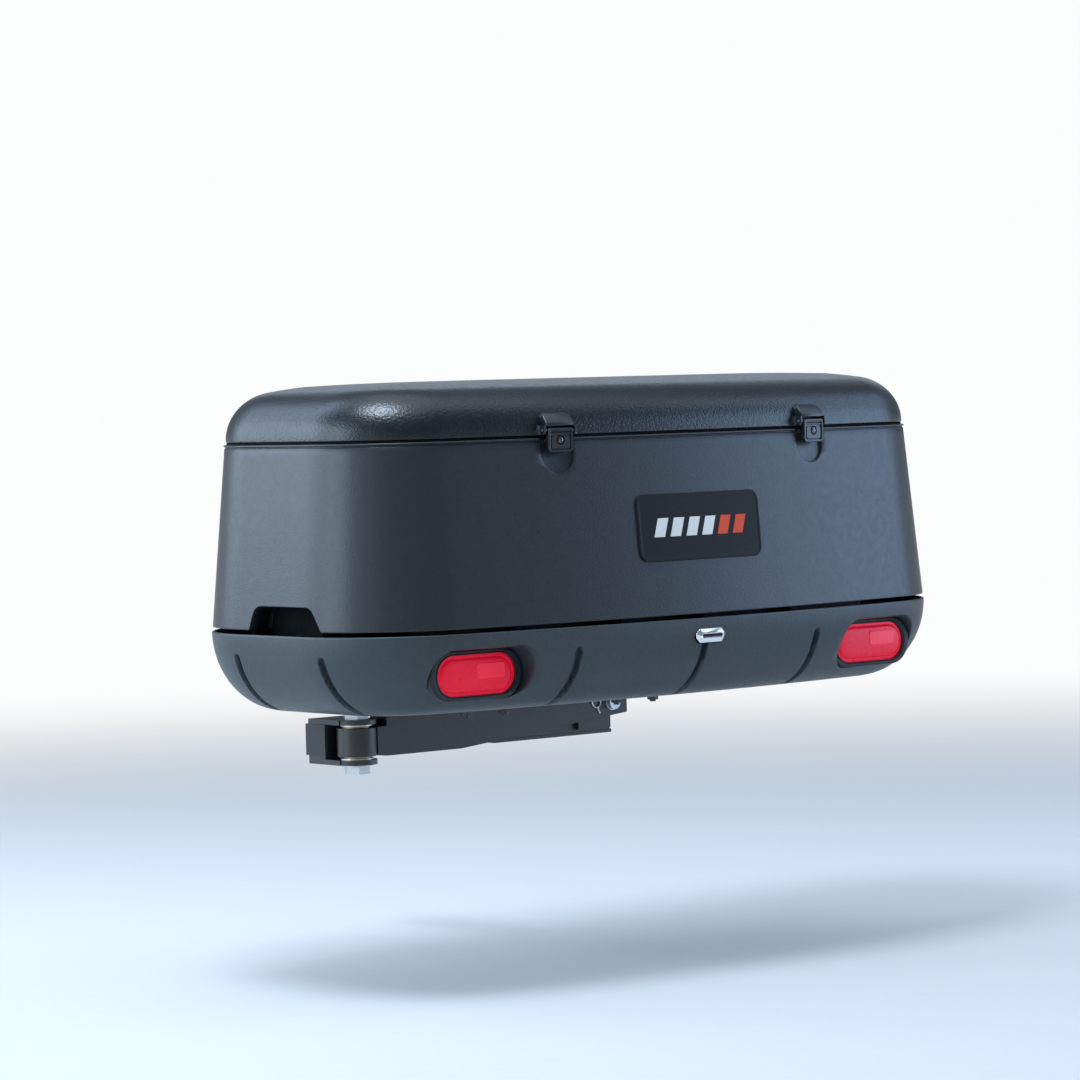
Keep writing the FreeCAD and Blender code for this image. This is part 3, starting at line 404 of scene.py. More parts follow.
def closed_skin(bm, rings):
    """Endless tube: the last ring joins the first."""
    made = skin(bm, rings, False, False)
    for k in range(len(made[0])):
        n = (k + 1) % len(made[0])
        bm.faces.new((made[-1][k], made[-1][n], made[0][n], made[0][k]))


def prism(bm, points, start, end, place):
    """Polygon (a, b) swept from start to end; place turns (a, b, sweep) into a row point."""
    skin(bm, [[place(a, b, sweep) for a, b in points] for sweep in (start, end)])


def cushion(bm, points_at, levels, place):
    """Polygons points_at(shrink) at (shrink, height) levels: a slab with rounded edges."""
    skin(bm, [[place(a, b, height) for a, b in points_at(shrink)] for shrink, height in levels])


def rounded_rect(width, height, radius, shrink=0.0, steps=6):
    w, h, r = width / 2 - shrink, height / 2 - shrink, max(radius - shrink, 0.3)
    points = []
    for cx, cy, first in ((w - r, h - r, 0), (r - w, h - r, 90), (r - w, r - h, 180), (w - r, r - h, 270)):
        for k in range(steps + 1):
            angle = math.radians(first + 90 * k / steps)
            points.append((cx + r * math.cos(angle), cy + r * math.sin(angle)))
    return points


def stadium(width, height, shrink=0.0, steps=20):
    return rounded_rect(width, height, height / 2, shrink, steps)


def boolean(obj, tool, operation="DIFFERENCE"):
    """Apply a boolean and delete the tool."""
    cut = obj.modifiers.new("cut", "BOOLEAN")
    cut.operation, cut.solver, cut.object = operation, "EXACT", tool
    graph = bpy.context.evaluated_depsgraph_get()
    result = bpy.data.meshes.new_from_object(obj.evaluated_get(graph))
    obj.modifiers.clear()
    obj.data = result
    bpy.data.objects.remove(tool)


def plain_object(bm):
    bmesh.ops.recalc_face_normals(bm, faces=bm.faces)
    mesh = bpy.data.meshes.new("tool")
    bm.to_mesh(mesh)
    bm.free()
    obj = bpy.data.objects.new("tool", mesh)
    bpy.context.scene.collection.objects.link(obj)
    return obj


def shell(name, outer, outer_tool, inner, inner_tool, look, body, replaces, smooth_deg):
    """Outer form with its cuts, hollowed by the inner form with wider cuts."""
    boolean(outer, outer_tool)
    boolean(inner, inner_tool)
    boolean(outer, inner)
    bm = bmesh.new()
    bm.from_mesh(outer.data)
    bpy.data.objects.remove(outer)
    return piece(name, bm, look, body, replaces, smooth_deg)


# ---- outline shared by the deck, the tub and the lid ----------------------------------
def frange(start, end, count):
    """Count even steps from start, with end left out."""
    return [start + (end - start) * k / count for k in range(count)]


def outline(dense):
    """(point, outward normal) pairs round the deck's outline, anticlockwise from above."""
    lean = math.degrees(math.atan2(CORNER_X, BOW_CENTRE_Y - CORNER_REAR_Y))

    def arc(centre_x, centre_y, radius, angles):
        found = []
        for angle in sorted(set(angles)):
            n = (math.cos(math.radians(angle)), math.sin(math.radians(angle)))
            found.append(((centre_x + radius * n[0], centre_y + radius * n[1]), n))
        return found

    bow = frange(-90, -90 + lean, 24)
    corner = frange(-90 + lean, 0, 28)
    side = frange(CORNER_REAR_Y, CORNER_FRONT_Y, 9)
    front = frange(0, 90, 28)
    if dense:
        step = math.degrees(1.2 / BOW_R)
        bow += [-90 + step * k for k in range(1, 14)]
        groove = -90 + math.degrees(math.asin(REAR_GROOVE_X / BOW_R * 1.018))
        bow += [groove + step * k + 0.0007 for k in range(-15, 16)]
        corner += frange(-36.0, -7.0, 72)
        side += frange(72.0, CORNER_FRONT_Y, 11)[1:]
        front += frange(0, 9.5, 26)[1:]
    half = arc(0, BOW_CENTRE_Y, BOW_R, bow) + arc(CORNER_X, CORNER_REAR_Y, CORNER_R, corner)
    half += [((HALF_WIDTH, y), (1.0, 0.0)) for y in sorted(set(side))]
    half += arc(CORNER_X, CORNER_FRONT_Y, CORNER_R, front)
    half += [((x, FRONT_Y), (0.0, 1.0)) for x in frange(CORNER_X, 0, 12)]
    middle = [((0.0, FRONT_Y), (0.0, 1.0))]
    mirrored = [((-p[0], p[1]), (-n[0], n[1])) for p, n in reversed(half[1:])]
    return half + middle + mirrored


REAR_GROOVE_X = 260.0
SMOOTH_OUTLINE = outline(False)
GROOVED_OUTLINE = outline(True)


def ring(inset, z, base=SMOOTH_OUTLINE):
    return [row(p[0] - n[0] * inset, p[1] - n[1] * inset, z) for p, n in base]


def rear_y(x, inset):
    """Y of the bowed rear face at x, for an outline moved inwards by inset."""
    big = BOW_R - inset
    return REAR_Y + inset + big - math.sqrt(big ** 2 - x ** 2)


# ---- deck tray ------------------------------------------------------------------------
GROOVE_TOP_Z, GROOVE_HALF, GROOVE_FLANK, GROOVE_DEPTH = 90.0, 7.6, 2.8, 10.5
SIDE_GROOVES = (-123.0, 90.0)


def groove_depth(x, y, z, extra):
    """Depth of the moulded grooves at a point of the deck's surface."""
    if y < -150:
        across = min(abs(x - g) for g in (-REAR_GROOVE_X, 0.0, REAR_GROOVE_X))
    elif abs(x) > 450:
        across = min(abs(y - g) for g in SIDE_GROOVES)
    else:
        return 0.0
    reach = math.hypot(across, max(0.0, z - GROOVE_TOP_Z))
    share = min(1.0, max(0.0, (GROOVE_HALF + extra - reach) / GROOVE_FLANK))
    low = min(1.0, max(0.0, (z - 2.0) / 9.0))
    return GROOVE_DEPTH * share * share * (3 - 2 * share) * low


def deck_rings(depth, extra, steps, rim):
    rings = []
    for k in range(steps + 1):
        a = math.radians(90.0 * (1 - k / steps))
        inset = depth + (DECK_EDGE_W - 0.4 * depth) * (1 - math.cos(a))
        z = depth + (DECK_RIM_Z - depth) * (1 - math.sin(a))
        if rim and k == steps:
            z -= 2.0
        out, up = DECK_RIM_Z * math.cos(a), -DECK_EDGE_W * math.sin(a)
        norm = math.hypot(out, up)
        points = []
        for p, n in GROOVED_OUTLINE:
            x, y = p[0] - n[0] * inset, p[1] - n[1] * inset
            g = groove_depth(x, y, z, extra)
            level = g * out / norm
            points.append(row(x - n[0] * level, y - n[1] * level, z - g * up / norm))
        rings.append(points)
    return rings


def deck_surface_y(x, z):
    """Y of the deck's rear surface at x and z."""
    share = 1 - min(max(z / DECK_RIM_Z, 0.0), 1.0)
    inset = DECK_EDGE_W * (1 - math.sqrt(1 - share ** 2))
    past = abs(x) - CORNER_X
    if past < 30.0:
        return rear_y(x, inset)
    return CORNER_REAR_Y - math.sqrt(max((CORNER_R - inset) ** 2 - past ** 2, 0.0))


POCKET_LIP = ((0.0, 0.0), (0.5, 0.0), (0.72, 0.7), (0.86, 2.0), (0.95, 4.0), (1.02, 6.0), (1.3, 8.0))


def pocket_tool(width, height, floor_y, lip):
    """Recesses for the two lamps; lip opens their mouths along the deck's surface."""
    bm = bmesh.new()
    for side in (-1, 1):
        rings = []
        for share, flare in POCKET_LIP:
            points = []
            for a, b in stadium(width, height, 0.0, 24):
                depth = floor_y - deck_surface_y(side * (LAMP_X + a), LAMP_Z + b)
                depth = max(depth, 6.0)
                grow = 1 + lip * flare * min(1.0, depth / 26.0) / math.hypot(a, b)
                points.append(row(side * (LAMP_X + a * grow), floor_y - depth * share, LAMP_Z + b * grow))
            rings.append(points)
        rings.append([Vector((p.x, row(0, REAR_Y - 60, 0).y, p.z)) for p in rings[-1]])
        skin(bm, rings)
    return plain_object(bm)


def make_deck():
    bm = bmesh.new()
    rings = deck_rings(0.0, 0.0, 70, True)
    rings.append(ring(0.6, DECK_RIM_Z - 0.6, GROOVED_OUTLINE))
    rings.append(ring(2.0, DECK_RIM_Z, GROOVED_OUTLINE))
    skin(bm, rings)
    outer = plain_object(bm)
    bm = bmesh.new()
    rings = deck_rings(DECK_WALL, DECK_WALL, 44, False)
    rings.append(ring(DECK_WALL, DECK_RIM_Z + 4, GROOVED_OUTLINE))
    skin(bm, rings)
    inner = plain_object(bm)
    shell("deck_tray_moulding", outer, pocket_tool(190, 81, -238.0, 1.0), inner,
          pocket_tool(212, 100, -233.5, 0.0), LOOKS["deck_plastic"], "carrier",
          ("deck_tray",), 48.0)


def half_width(y, inset):
    """X of the side face at y, for an outline moved inwards by inset."""
    past = max(y - CORNER_FRONT_Y, CORNER_REAR_Y - y, 0.0)
    radius = CORNER_R - inset
    return CORNER_X + math.sqrt(max(radius ** 2 - past ** 2, 0.0))


RIB_INSET = 105.0           # keeps the ribs out of sight behind the seam


def rib_profile(limits):
    """Outline of one upright rib whose ends follow the tray's inside; limits(inset) gives both ends."""
    right, left = [], []
    for k in range(13):
        a = math.radians(90 - 7.5 * k)
        inset = 13 + (DECK_EDGE_W - 5) * (1 - math.cos(a))
        z = 4 + (DECK_RIM_Z - 4) * (1 - math.sin(a))
        low, high = limits(max(inset, RIB_INSET))
        right.append((high, z))
        left.append((low, z))
    low, high = limits(RIB_INSET)
    return right + [(high, 136.8), (low, 136.8)] + list(reversed(left))


def make_deck_ribs():
    bm = bmesh.new()
    for y in (-165.0, 20.0, 215.0):
        def across(inset, y=y):
            return -half_width(y, inset), half_width(y, inset)
        prism(bm, rib_profile(across), y - 2, y + 2, lambda a, b, s: row(a, s, b))
    for x in (-545.0, -300.0, -90.0, 90.0, 300.0, 545.0):
        def along(inset, x=x):
            past = max(abs(x) - CORNER_X, 0.0)
            corner = math.sqrt(max((CORNER_R - inset) ** 2 - past ** 2, 0.0))
            if past:
                return CORNER_REAR_Y - corner, CORNER_FRONT_Y + corner
            return rear_y(x, inset), FRONT_Y - inset
        prism(bm, rib_profile(along), x - 2, x + 2, lambda a, b, s: row(s, a, b))
    piece("deck_ribs", bm, LOOKS["deck_plastic"], "carrier")


# ---- tub ------------------------------------------------------------------------------
def tub_inset(z):
    share = (z - TUB_FLOOR_Z) / (TUB_RIM_Z - TUB_FLOOR_Z)
    return TUB_LOW_INSET + share * (TUB_RIM_INSET - TUB_LOW_INSET)


def at_latch(side):
    """Placer for the latch's own frame: (u along the wall, v inwards, z)."""
    x = side * LATCH_X
    lean = math.asin(x / (BOW_R - TUB_RIM_INSET))
    y = rear_y(x, TUB_RIM_INSET)

    def place(u, v, z):
        c, s = math.cos(lean), math.sin(lean)
        return row(x + u * c - v * s, y + u * s + v * c, z)
    return place


FLARE = ((0.0, 3.4), (0.06, 1.5), (0.2, 0.4), (0.4, 0.0), (0.72, 0.0), (0.9, -0.6), (1.0, -1.7),
         (1.25, -2.2), (6.0, -2.2))
POCKET_HALF, POCKET_ARC_Z, POCKET_TOP_Z = 31.0, 403.0, 448.0


def pocket_outline(grow):
    """Finger pocket under a latch: two upright sides joined by a half circle."""
    half = POCKET_HALF + grow
    turns = [math.radians(a) for a in range(180, 361, 8)]
    low = [(half * math.cos(a), POCKET_ARC_Z + half * math.sin(a)) for a in turns]
    return [(-half, POCKET_TOP_Z)] + low + [(half, POCKET_TOP_Z)]


HOLD_TOP_Z, HOLD_R, HOLD_FOOT_Z = 174.0, 20.0, 128.0


def hold_outline(grow):
    """Trapezium with round top corners, in (y, z); its two sides lean in by different angles."""
    r = HOLD_R + grow
    points = [(-131.5 - 1.19 * grow, HOLD_FOOT_Z)]
    for cy, first, last in ((-91.1, 147.3, 90.0), (24.2, 90.0, 17.1)):
        for k in range(9):
            a = math.radians(first + (last - first) * k / 8)
            points.append((cy + r * math.cos(a), HOLD_TOP_Z - HOLD_R + r * math.sin(a)))
    points.append((53.2 + 1.05 * grow, HOLD_FOOT_Z))
    return points


def tub_cutters(margin):
    """Finger pockets and hand-holds with softened lips; margin makes them deeper and wider."""
    bm = bmesh.new()
    for side in (-1, 1):
        place = at_latch(side)
        rings = []
        for share, shrink in FLARE:
            points = []
            for u, z in pocket_outline(margin - (0 if margin else shrink)):
                back = -2.3 + margin + (z - 372) * 10.3 / 56
                wall = (z - TUB_RIM_Z) * 5.3 / 56
                points.append(place(u, back + (wall - back) * share, z))
            rings.append(points)
        skin(bm, rings)
        rings = []
        for share, shrink in FLARE:
            points = []
            for y, z in hold_outline(margin - (0 if margin else shrink)):
                back = 604.0 - margin
                wall = half_width(y, tub_inset(z))
                reach = back + (wall - back) * min(share, 1.0) + max(0.0, share - 1.0) * 4
                points.append(row(side * reach, y, z))
            rings.append(points)
        rings.append([Vector((row(side * (HALF_WIDTH + 60), 0, 0).x, p.y, p.z)) for p in rings[-1]])
        skin(bm, rings)
    return plain_object(bm)


def make_tub():
    levels = [(4.5, 137.0), (2.6, 137.0), (1.9, 137.3), (1.6, 138.0)]
    levels += [(tub_inset(z), z) for z in frange(139.5, 421.5, 26)]
    levels += [(28.4, 421.6), (28.9, 422.2), (29.9, 423.0), (30.0, 424.0), (29.2, 424.7), (27.7, 425.1),
               (27.2, 425.7), (27.2, 426.8), (27.7, 427.6), (28.6, 428.0), (33.2, 428.0), (34.0, 427.6)]
    levels += [(40.0, 427.6)]
    bm = bmesh.new()
    skin(bm, [ring(inset, z) for inset, z in levels])
    outer = plain_object(bm)
    bm = bmesh.new()
    floor = TUB_FLOOR_Z + TUB_WALL
    inner_levels = [(18.0, floor), (11.0, floor + 1.5), (7.5, floor + 6.0)]
    inner_levels += [(tub_inset(z) + TUB_WALL, z) for z in frange(floor + 12, 440.0, 20)]
    inner_levels.append((tub_inset(440.0) + TUB_WALL, 440.0))
    skin(bm, [ring(inset, z) for inset, z in inner_levels])
    inner = plain_object(bm)
    shell("tub_moulding", outer, tub_cutters(0.0), inner, tub_cutters(4.5), LOOKS["tub_plastic"],
          "carrier", ("tub_shell",), 40.0)


def make_hold_painted_shade():
    """Matte black sheets inside the hand-holds: painted shade for their deep recesses."""
    for side, word in ((-1, "left"), (1, "right")):
        bm = bmesh.new()
        rings = []
        for share in (0.0, 0.3, 0.6, 0.86):
            points = []
            for y, z in hold_outline(-0.5):
                back = 604.5
                reach = back + (half_width(y, tub_inset(z)) - back) * share
                points.append(row(side * reach, y, z))
            rings.append(points)
        skin(bm, rings, cap_last=False)
        # matte black sheet of painted shade, lining the hand-hold's recess
        painted_shade = piece("hand_hold_painted_shade_" + word, bm, MATTE_BLACK, "carrier")
        thick = painted_shade.modifiers.new("thick", "SOLIDIFY")
        thick.thickness = 0.4 * MM
        thick.offset = 0.0


def make_seal():
    bm = bmesh.new()
    section = ((32.2, 427.9), (31.9, 429.2), (32.1, 430.6), (32.6, 431.5), (34.6, 431.5),
               (35.0, 430.4), (34.8, 428.6), (34.2, 427.7))
    closed_skin(bm, [ring(inset, z) for inset, z in section])
    piece("lid_seal_bead", bm, MATTE_BLACK, "carrier", ("lid_seal",))


# ---- lid ------------------------------------------------------------------------------
CROWN_START_DEG = 80.1      # where the shoulder's slope meets the crown's
CROWN_RUN, CROWN_SLOPE = 139.6, 0.16


def lid_levels(depth):
    """(inset, z) pairs from the lid's lower edge to the top of the crown."""
    start, width, height = LID_INSET + depth, LID_EDGE_W - 0.4 * depth, LID_EDGE_H - depth
    levels = []
    for k in range(27):
        a = math.radians(CROWN_START_DEG * k / 26)
        levels.append((start + width * (1 - math.cos(a)), LID_LOW_Z + 2 + height * math.sin(a)))
    return levels


def lid_rings(depth):
    rings = [ring(inset, z) for inset, z in lid_levels(depth)]
    inset, z = lid_levels(depth)[-1]
    for run in (8, 18, 30, 44, 58):
        rings.append(ring(inset + run, z + CROWN_SLOPE * run * (1 - run / (2 * CROWN_RUN))))
    middle = Vector((BASE.x, row(0, -16, 0).y, 0))
    last = rings[-1]
    for k in range(1, 10):
        run = min(CROWN_RUN, 58 + 20 * k)
        height = row(0, 0, z + CROWN_SLOPE * run * (1 - run / (2 * CROWN_RUN))).z
        share = 1 - 0.1 * k
        shrunk = [middle + (q - middle) * share for q in last]
        rings.append([Vector((q.x, q.y, height)) for q in shrunk])
    return rings


def make_lid():
    bm = bmesh.new()
    edge = [(34.9, LID_LOW_Z + 0.4), (34.2, LID_LOW_Z), (32.4, LID_LOW_Z), (31.5, LID_LOW_Z + 0.3),
            (31.0, LID_LOW_Z + 1.0)]
    outer = [ring(inset, z) for inset, z in edge] + lid_rings(0.0)
    made = skin(bm, outer, cap_first=False)
    inner = [ring(LID_INSET + LID_WALL, LID_LOW_Z + 0.9)] + lid_rings(LID_WALL)
    inside = skin(bm, inner, cap_first=False)
    low, high = made[0], inside[0]
    for k in range(len(low)):
        n = (k + 1) % len(low)
        bm.faces.new((low[n], low[k], high[k], high[n]))
    piece("lid_moulding", bm, LOOKS["lid_plastic"], "lid", ("lid_shell",), 40.0)


# ---- latches --------------------------------------------------------------------------
def cap_row(half, front, back, z, place, r=2.4):
    """Cross-section of the latch cap at one height: flat back, front with round corners."""
    points = [place(half, back, z), place(half, front + r, z)]
    for first, cx in ((0, half - r), (-90, r - half)):
        for k in range(1, 6):
            a = math.radians(first - 90 * k / 6)
            points.append(place(cx + r * math.cos(a), front + r + r * math.sin(a), z))
    return points + [place(-half, front + r, z), place(-half, back, z)]


CAP_ROWS = ((446.4, -11.6), (446.9, -12.5), (447.8, -13.0), (449.5, -12.9), (451.5, -11.8),
            (454, -9.8), (457, -7.4), (460, -4.9), (463, -2.4), (465, -0.5), (466.4, 1.6),
            (467.4, 4.4))


def make_latch_cap(side, word):
    place = at_latch(side)
    bm = bmesh.new()
    rows = []
    for z, front in CAP_ROWS:
        half = 26.5 - 9 + math.sqrt(max(81 - max(0.0, z - 458.6) ** 2, 0.0))
        rows.append(cap_row(half, front, 14.0, z, place))
    skin(bm, rows)
    for way in (-1, 1):
        rows = []
        for k in range(12):
            z = 433.2 + 15.0 * k / 11
            rise = (z - 433.2) / 15.0
            front = -13.0 + 3.5 * (1 - min(1.0, rise * 2.2)) ** 2
            flare = 33.2 + 9.5 * (1 - rise) ** 2.2
            lid_v = 2.0 + 85 * (1 - math.sqrt(max(0.0, 1 - (max(0.0, z - 434) / 78) ** 2)))
            outer = 31.6
            section = [(27.4, 7.0), (27.4, front + 0.8), (28.0, front), (outer - 1.0, front),
                       (outer, front + 1.0), (outer + 0.3, lid_v - 4.0), (outer + 1.0, lid_v - 2.2),
                       (outer + 2.0, lid_v - 1.2), ((outer + flare) / 2 + 1.0, lid_v - 0.8),
                       (flare + 1.6, lid_v + 0.3), (flare + 1.6, 7.0)]
            rows.append([place(way * u, v, z) for u, v in section])
        skin(bm, rows)
    return piece("latch_cap_" + word, bm, LOOKS["black_trim"], "lid", ("latch_bases",), 40.0)


LEVER_FRAME = ((0.7, -7.6), (0.0, -8.4), (0.0, -12.0), (0.35, -12.9), (1.0, -13.4),
               (3.2, -13.4), (3.9, -13.1), (4.3, -12.3), (4.5, -10.6))
LEVER_W, KEY_Z = 47.5, 424.0


def make_lever(side, word):
    place = at_latch(side)
    body = "latch_lever_" + word
    low, high = 405.0, 443.4
    middle = (low + high) / 2

    def face(a, b, v):
        return place(a, v, middle + b)

    bm = bmesh.new()
    cushion(bm, lambda shrink: rounded_rect(LEVER_W, high - low, 6.0, shrink), LEVER_FRAME, face)
    for z in (434.6, 438.6):
        levels = ((0.5, -10.0), (0.0, -11.2), (0.4, -12.4), (0.9, -12.6))
        cushion(bm, lambda shrink: rounded_rect(LEVER_W - 9, 2.6, 1.3, shrink), levels,
                lambda a, b, v, z=z: place(a, v, z + b))
    levels = ((0.2, -10.0), (0.0, -11.4), (0.4, -12.2), (1.2, -12.6))
    cushion(bm, lambda shrink: rounded_rect(LEVER_W - 12, 20.5, 3.5, shrink), levels,
            lambda a, b, v: place(a, v, 420.6 + b))
    pin_v, pin_z = -8.0, 440.0
    turn = [(4.4 * math.cos(math.radians(a)), 4.4 * math.sin(math.radians(a))) for a in range(0, 360, 15)]
    half = LEVER_W / 2 - 0.2
    skin(bm, [[place(u, pin_v + a, pin_z + b) for a, b in turn] for u in (-half, half)])
    hook = [(-9, 437), (-5.5, 437), (-5.5, 420), (-1.5, 420), (-1.5, 415.5), (-9, 415.5)]
    for u in (-18, 11):
        prism(bm, hook, u, u + 7, lambda a, b, s: place(s, a, b))
    cheek = [(-9.5, 407), (-4, 409), (-4, 440), (-9.5, 440)]
    for u in (-half, half - 3.0):
        prism(bm, cheek, u + 0.3, u + 2.7, lambda a, b, s: place(s, a, b))
    piece("lever_face_" + word, bm, LOOKS["black_trim"], body, (body,), 35.0)

    bm = bmesh.new()

    def disc(shrink):
        return rounded_rect(15, 15, 7.5, shrink, 9)
    levels = ((0.0, -12.0), (0.0, -12.9), (0.5, -13.3), (1.5, -13.3), (2.0, -12.9), (2.2, -12.3))
    cushion(bm, disc, levels, lambda a, b, v: place(a, v, KEY_Z + b))
    piece("lock_surround_" + word, bm, MATTE_BLACK, body)

    bm = bmesh.new()
    levels = ((0.0, -4.6), (0.0, -12.6), (0.3, -13.1), (1.0, -13.5), (2.2, -13.8), (3.4, -13.9))
    cushion(bm, lambda shrink: rounded_rect(9.6, 9.6, 4.8, shrink, 9), levels,
            lambda a, b, v: place(a, v, KEY_Z + b))
    cam = [(-2.5, 0.0), (2.5, 0.0), (2.5, 9.0), (-2.5, 9.0)]
    prism(bm, cam, -6.5, -4.6, lambda a, b, s: place(a, s, KEY_Z + b))
    name = "lock_barrel_" + word
    piece("key_cylinder_" + word, bm, DARK_NICKEL, name, (name,), 30.0)
    bm = bmesh.new()
    prism(bm, [(-0.55, -3.1), (0.55, -3.1), (0.55, 3.1), (-0.55, 3.1)], -14.05, -12.5,
          lambda a, b, s: place(a, s, KEY_Z + b))
    piece("key_slot_" + word, bm, MATTE_BLACK, name)


def make_latches():
    for side, word in ((-1, "left"), (1, "right")):
        make_latch_cap(side, word)
        make_lever(side, word)


# ---- lamps ----------------------------------------------------------------------------
GROMMET = ((0.0, -239.0), (0.0, -246.6), (0.10, -248.2), (0.24, -249.0), (0.66, -249.0), (0.72, -248.6),
           (0.75, -247.4), (0.79, -247.4), (0.82, -248.6), (0.87, -249.2), (0.92, -249.2), (0.97, -248.6),
           (0.985, -247.0), (0.985, -239.0))
LENS = ((0.0, -238.2), (0.0, -244.8), (0.5, -245.7), (1.6, -246.1), (4.2, -246.2), (4.9, -245.6),
        (5.6, -245.4), (6.4, -245.7), (7.4, -247.0), (8.8, -248.0), (11.0, -248.5), (16.0, -248.8),
        (26.0, -249.0), (32.0, -249.0))
GROMMET_W, GROMMET_H, LIP_W, LIP_H = 188.0, 79.0, 31.0, 15.0
LENS_W, LENS_H = 158.0, 65.0


def make_lamps():
    for side, word in ((-1, "left"), (1, "right")):
        def place(a, b, y, side=side):
            return row(side * LAMP_X + a, y, LAMP_Z + b)

        bm = bmesh.new()
        rings = []
        for share, y in GROMMET:
            points = stadium(GROMMET_W - LIP_W * share, GROMMET_H - LIP_H * share)
            rings.append([place(a, b, y) for a, b in points])
        closed_skin(bm, rings)
        piece("lamp_grommet_" + word, bm, LOOKS["seal_rubber"], "carrier",
              ("light_grommet_" + word,))

        bm = bmesh.new()
        cushion(bm, lambda shrink: stadium(LENS_W, LENS_H, shrink), LENS, place)
        piece("lamp_lens_" + word, bm, LOOKS["red_lens"], "carrier", ("light_lens_" + word,))

        bm = bmesh.new()
        levels = ((0.0, -248.4), (0.0, -249.3), (0.7, -249.9), (1.6, -250.0))
        cushion(bm, lambda shrink: rounded_rect(58, 24, 5, shrink), levels,
                lambda a, b, y, place=place: place(a + 28, b + 6.0, y))
        piece("lamp_reflector_" + word, bm, RED_FACET, "carrier")


def octagon(shrink):
    w, h, cut = 31.75 - shrink, 11.25 - shrink, 8.0 - 0.6 * shrink
    return [(w, -h + cut), (w, h - cut), (w - cut, h), (cut - w, h),
            (-w, h - cut), (-w, cut - h), (cut - w, -h), (w - cut, -h)]


def make_plate_lamp():
    def place(a, b, y):
        return row(PLATE_LAMP_X + a, y, PLATE_LAMP_Z + b)

    bm = bmesh.new()
    levels = ((0.6, -310.0), (0.0, -310.6), (0.0, -312.4), (0.4, -313.0), (6.6, -317.3),
              (7.2, -317.6), (8.0, -317.5), (8.5, -316.9), (8.6, -315.4), (8.6, -311.0))
    closed_skin(bm, [[place(a, b, y) for a, b in octagon(shrink)] for shrink, y in levels])
    prism(bm, [(-20.5, -5.5), (20.5, -5.5), (20.5, 5.5), (-20.5, 5.5)], -311.0, -292.0, place)
    piece("licence_lamp_bezel", bm, LOOKS["chrome_trim"], "carrier",
          ("licence_lamp_housing",), 25.0)
    bm = bmesh.new()
    levels = ((8.4, -311.5), (8.4, -315.6), (8.8, -316.1), (9.6, -316.3))
    cushion(bm, octagon, levels, place)
    piece("licence_lamp_window", bm, DARK_GLASS, "carrier",
          ("licence_lamp_lens",), 30.0)
    bm = bmesh.new()
    levels = ((-1.3, -308.0), (-1.3, -311.2), (-0.8, -311.9), (0.6, -311.9), (0.6, -308.0))
    closed_skin(bm, [[place(a, b, y) for a, b in octagon(shrink)] for shrink, y in levels])
    piece("licence_lamp_gasket", bm, MATTE_BLACK, "carrier")


# ---- badge ----------------------------------------------------------------------------
def on_wall(x, z, out):
    """Point of the rear wall at x and z, moved outwards by out."""
    inset = tub_inset(z) - out
    return row(x, rear_y(x, inset), z)


EMBLEM_PITCH = 34.0


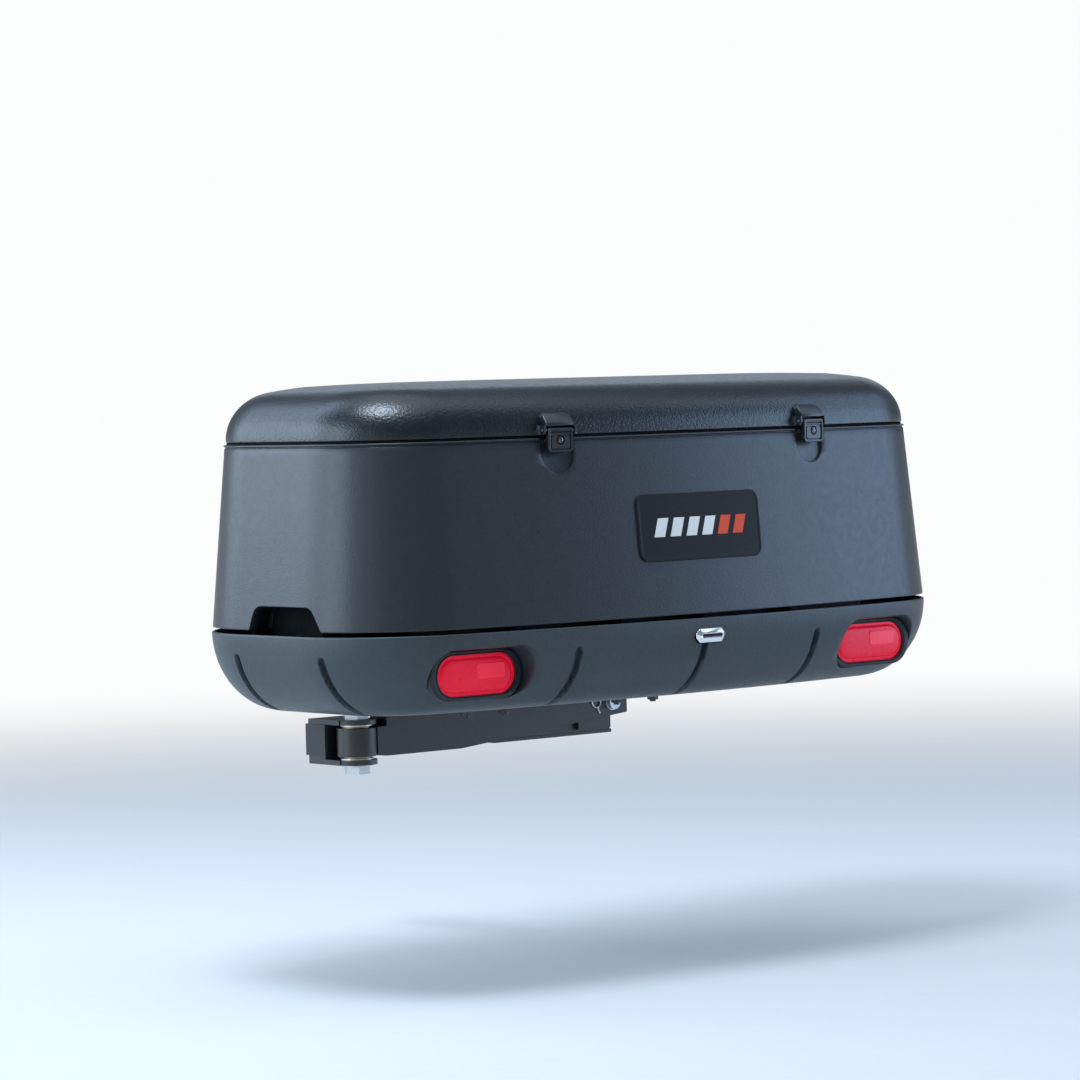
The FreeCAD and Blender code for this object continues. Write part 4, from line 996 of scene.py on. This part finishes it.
def make_badge():
    half_w, half_h, radius = 133.0, 54.0, 17.0
    columns = sorted(set([half_w * (1 - math.cos(math.pi * k / 48)) - half_w for k in range(49)]
                         + [side * (half_w - radius * (1 - math.sin(math.radians(a))))
                            for side in (-1, 1) for a in range(0, 90, 10)]))
    shares = [math.sin(math.pi / 2 * k / 12) for k in range(-12, 13)]
    bm = bmesh.new()
    top, base = [], []
    for x in columns:
        past = max(0.0, abs(x) - (half_w - radius))
        reach = half_h - radius + math.sqrt(max(radius ** 2 - past ** 2, 0.0))
        line, under = [], []
        for share in shares:
            b = reach * share
            edge = min(half_w - abs(x), half_h - abs(b))
            over_a, over_b = abs(x) - (half_w - radius), abs(b) - (half_h - radius)
            if over_a > 0 and over_b > 0:
                edge = radius - math.hypot(over_a, over_b)
            edge = max(edge, 0.0)
            out = 2.0 + 1.0 * math.sqrt(1 - (1 - min(edge / 1.6, 1.0)) ** 2)
            out -= 0.5 * min(1.0, max(0.0, (edge - 4.0) / 0.8))
            line.append(bm.verts.new(on_wall(BADGE_X + x, BADGE_Z + b, out)))
            under.append(bm.verts.new(on_wall(BADGE_X + x, BADGE_Z + b, -0.4)))
        top.append(line)
        base.append(under)
    rows = len(shares)
    for grid in (top, base):
        for one, two in zip(grid, grid[1:]):
            for k in range(rows - 1):
                bm.faces.new((one[k], one[k + 1], two[k + 1], two[k]))
    for one, two in zip(range(len(columns) - 1), range(1, len(columns))):
        for k in (0, rows - 1):
            bm.faces.new((top[one][k], top[two][k], base[two][k], base[one][k]))
    for c in (0, -1):
        for k in range(rows - 1):
            bm.faces.new((top[c][k], top[c][k + 1], base[c][k + 1], base[c][k]))
    piece("badge", bm, LOOKS["badge_face"], "carrier", ("badge_plate",), 40.0)

    def place(a, b, out):
        return on_wall(BADGE_X + a, BADGE_Z + b, out)

    def emblem(name, outline_at, levels, look, at):
        bm = bmesh.new()
        rings = [[place(a + at[0], b + at[1], out) for a, b in outline_at(shrink)] for shrink, out in levels]
        skin(bm, rings)
        piece(name, bm, look, "carrier", (), 30.0)

    thin = ((0.0, 2.0), (0.0, 2.9), (0.3, 3.1))

    def slanted(width, height, shrink):
        w, h, lean = width / 2 - shrink, height / 2 - shrink, 0.35
        return [(-w - h * lean, -h), (w - h * lean, -h), (w + h * lean, h), (h * lean - w, h)]

    for k in range(6):
        look = ORANGE_INK if k >= 4 else WHITE_INK
        emblem("badge_bar_%d" % (k + 1), lambda shrink: slanted(22, 30, shrink), thin, look,
               (EMBLEM_PITCH * (k - 2.5), 0.0))


# ---- lock spring ----------------------------------------------------------------------
SPRING_WIRE_R, SPRING_TURNS, LOCK_PIN_TRAVEL = 0.8, 4.0, 12.0


def make_lock_spring():
    """Coil on the lock pin, with a flat turn at each end."""
    low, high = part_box("lock_spring")
    middle = (low + high) / 2
    radius = (high.x - low.x) / 2 - SPRING_WIRE_R * MM
    start, run = low.y + SPRING_WIRE_R * MM, high.y - low.y - 2 * SPRING_WIRE_R * MM
    steps = 24
    total = int(steps * (SPRING_TURNS + 2))
    rings = []
    for k in range(total + 1):
        turn = k / steps
        share = min(max(turn - 1.0, 0.0), SPRING_TURNS) / SPRING_TURNS
        settle = (min(turn, 1.0) + max(turn - 1.0 - SPRING_TURNS, 0.0)) * 1.02 * SPRING_WIRE_R * 2 * MM
        y = start + settle + (run - 4.08 * SPRING_WIRE_R * MM) * share
        a = 2 * math.pi * turn
        out = Vector((math.cos(a), 0.0, math.sin(a)))
        centre = Vector((middle.x, y, middle.z)) + out * radius
        ring_points = []
        for j in range(10):
            b = 2 * math.pi * j / 10
            away = out * math.cos(b) + Vector((0, math.sin(b), 0))
            ring_points.append(centre + away * SPRING_WIRE_R * MM)
        rings.append(ring_points)
    bm = bmesh.new()
    skin(bm, rings)
    coil = piece("lock_spring_coil", bm, LOOKS["spring_steel"], "carrier",
                 ("lock_spring",), 40.0)
    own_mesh(coil)


# ---- run ------------------------------------------------------------------------------
bpy.context.scene.view_settings.view_transform = "Standard"
make_camera()
make_world()
make_lights()
make_floor()
dress_cad_nodes()
make_deck()
make_deck_ribs()
make_tub()
make_hold_painted_shade()
make_seal()
make_lid()
make_latches()
make_lamps()
make_plate_lamp()
make_badge()
make_lock_spring()
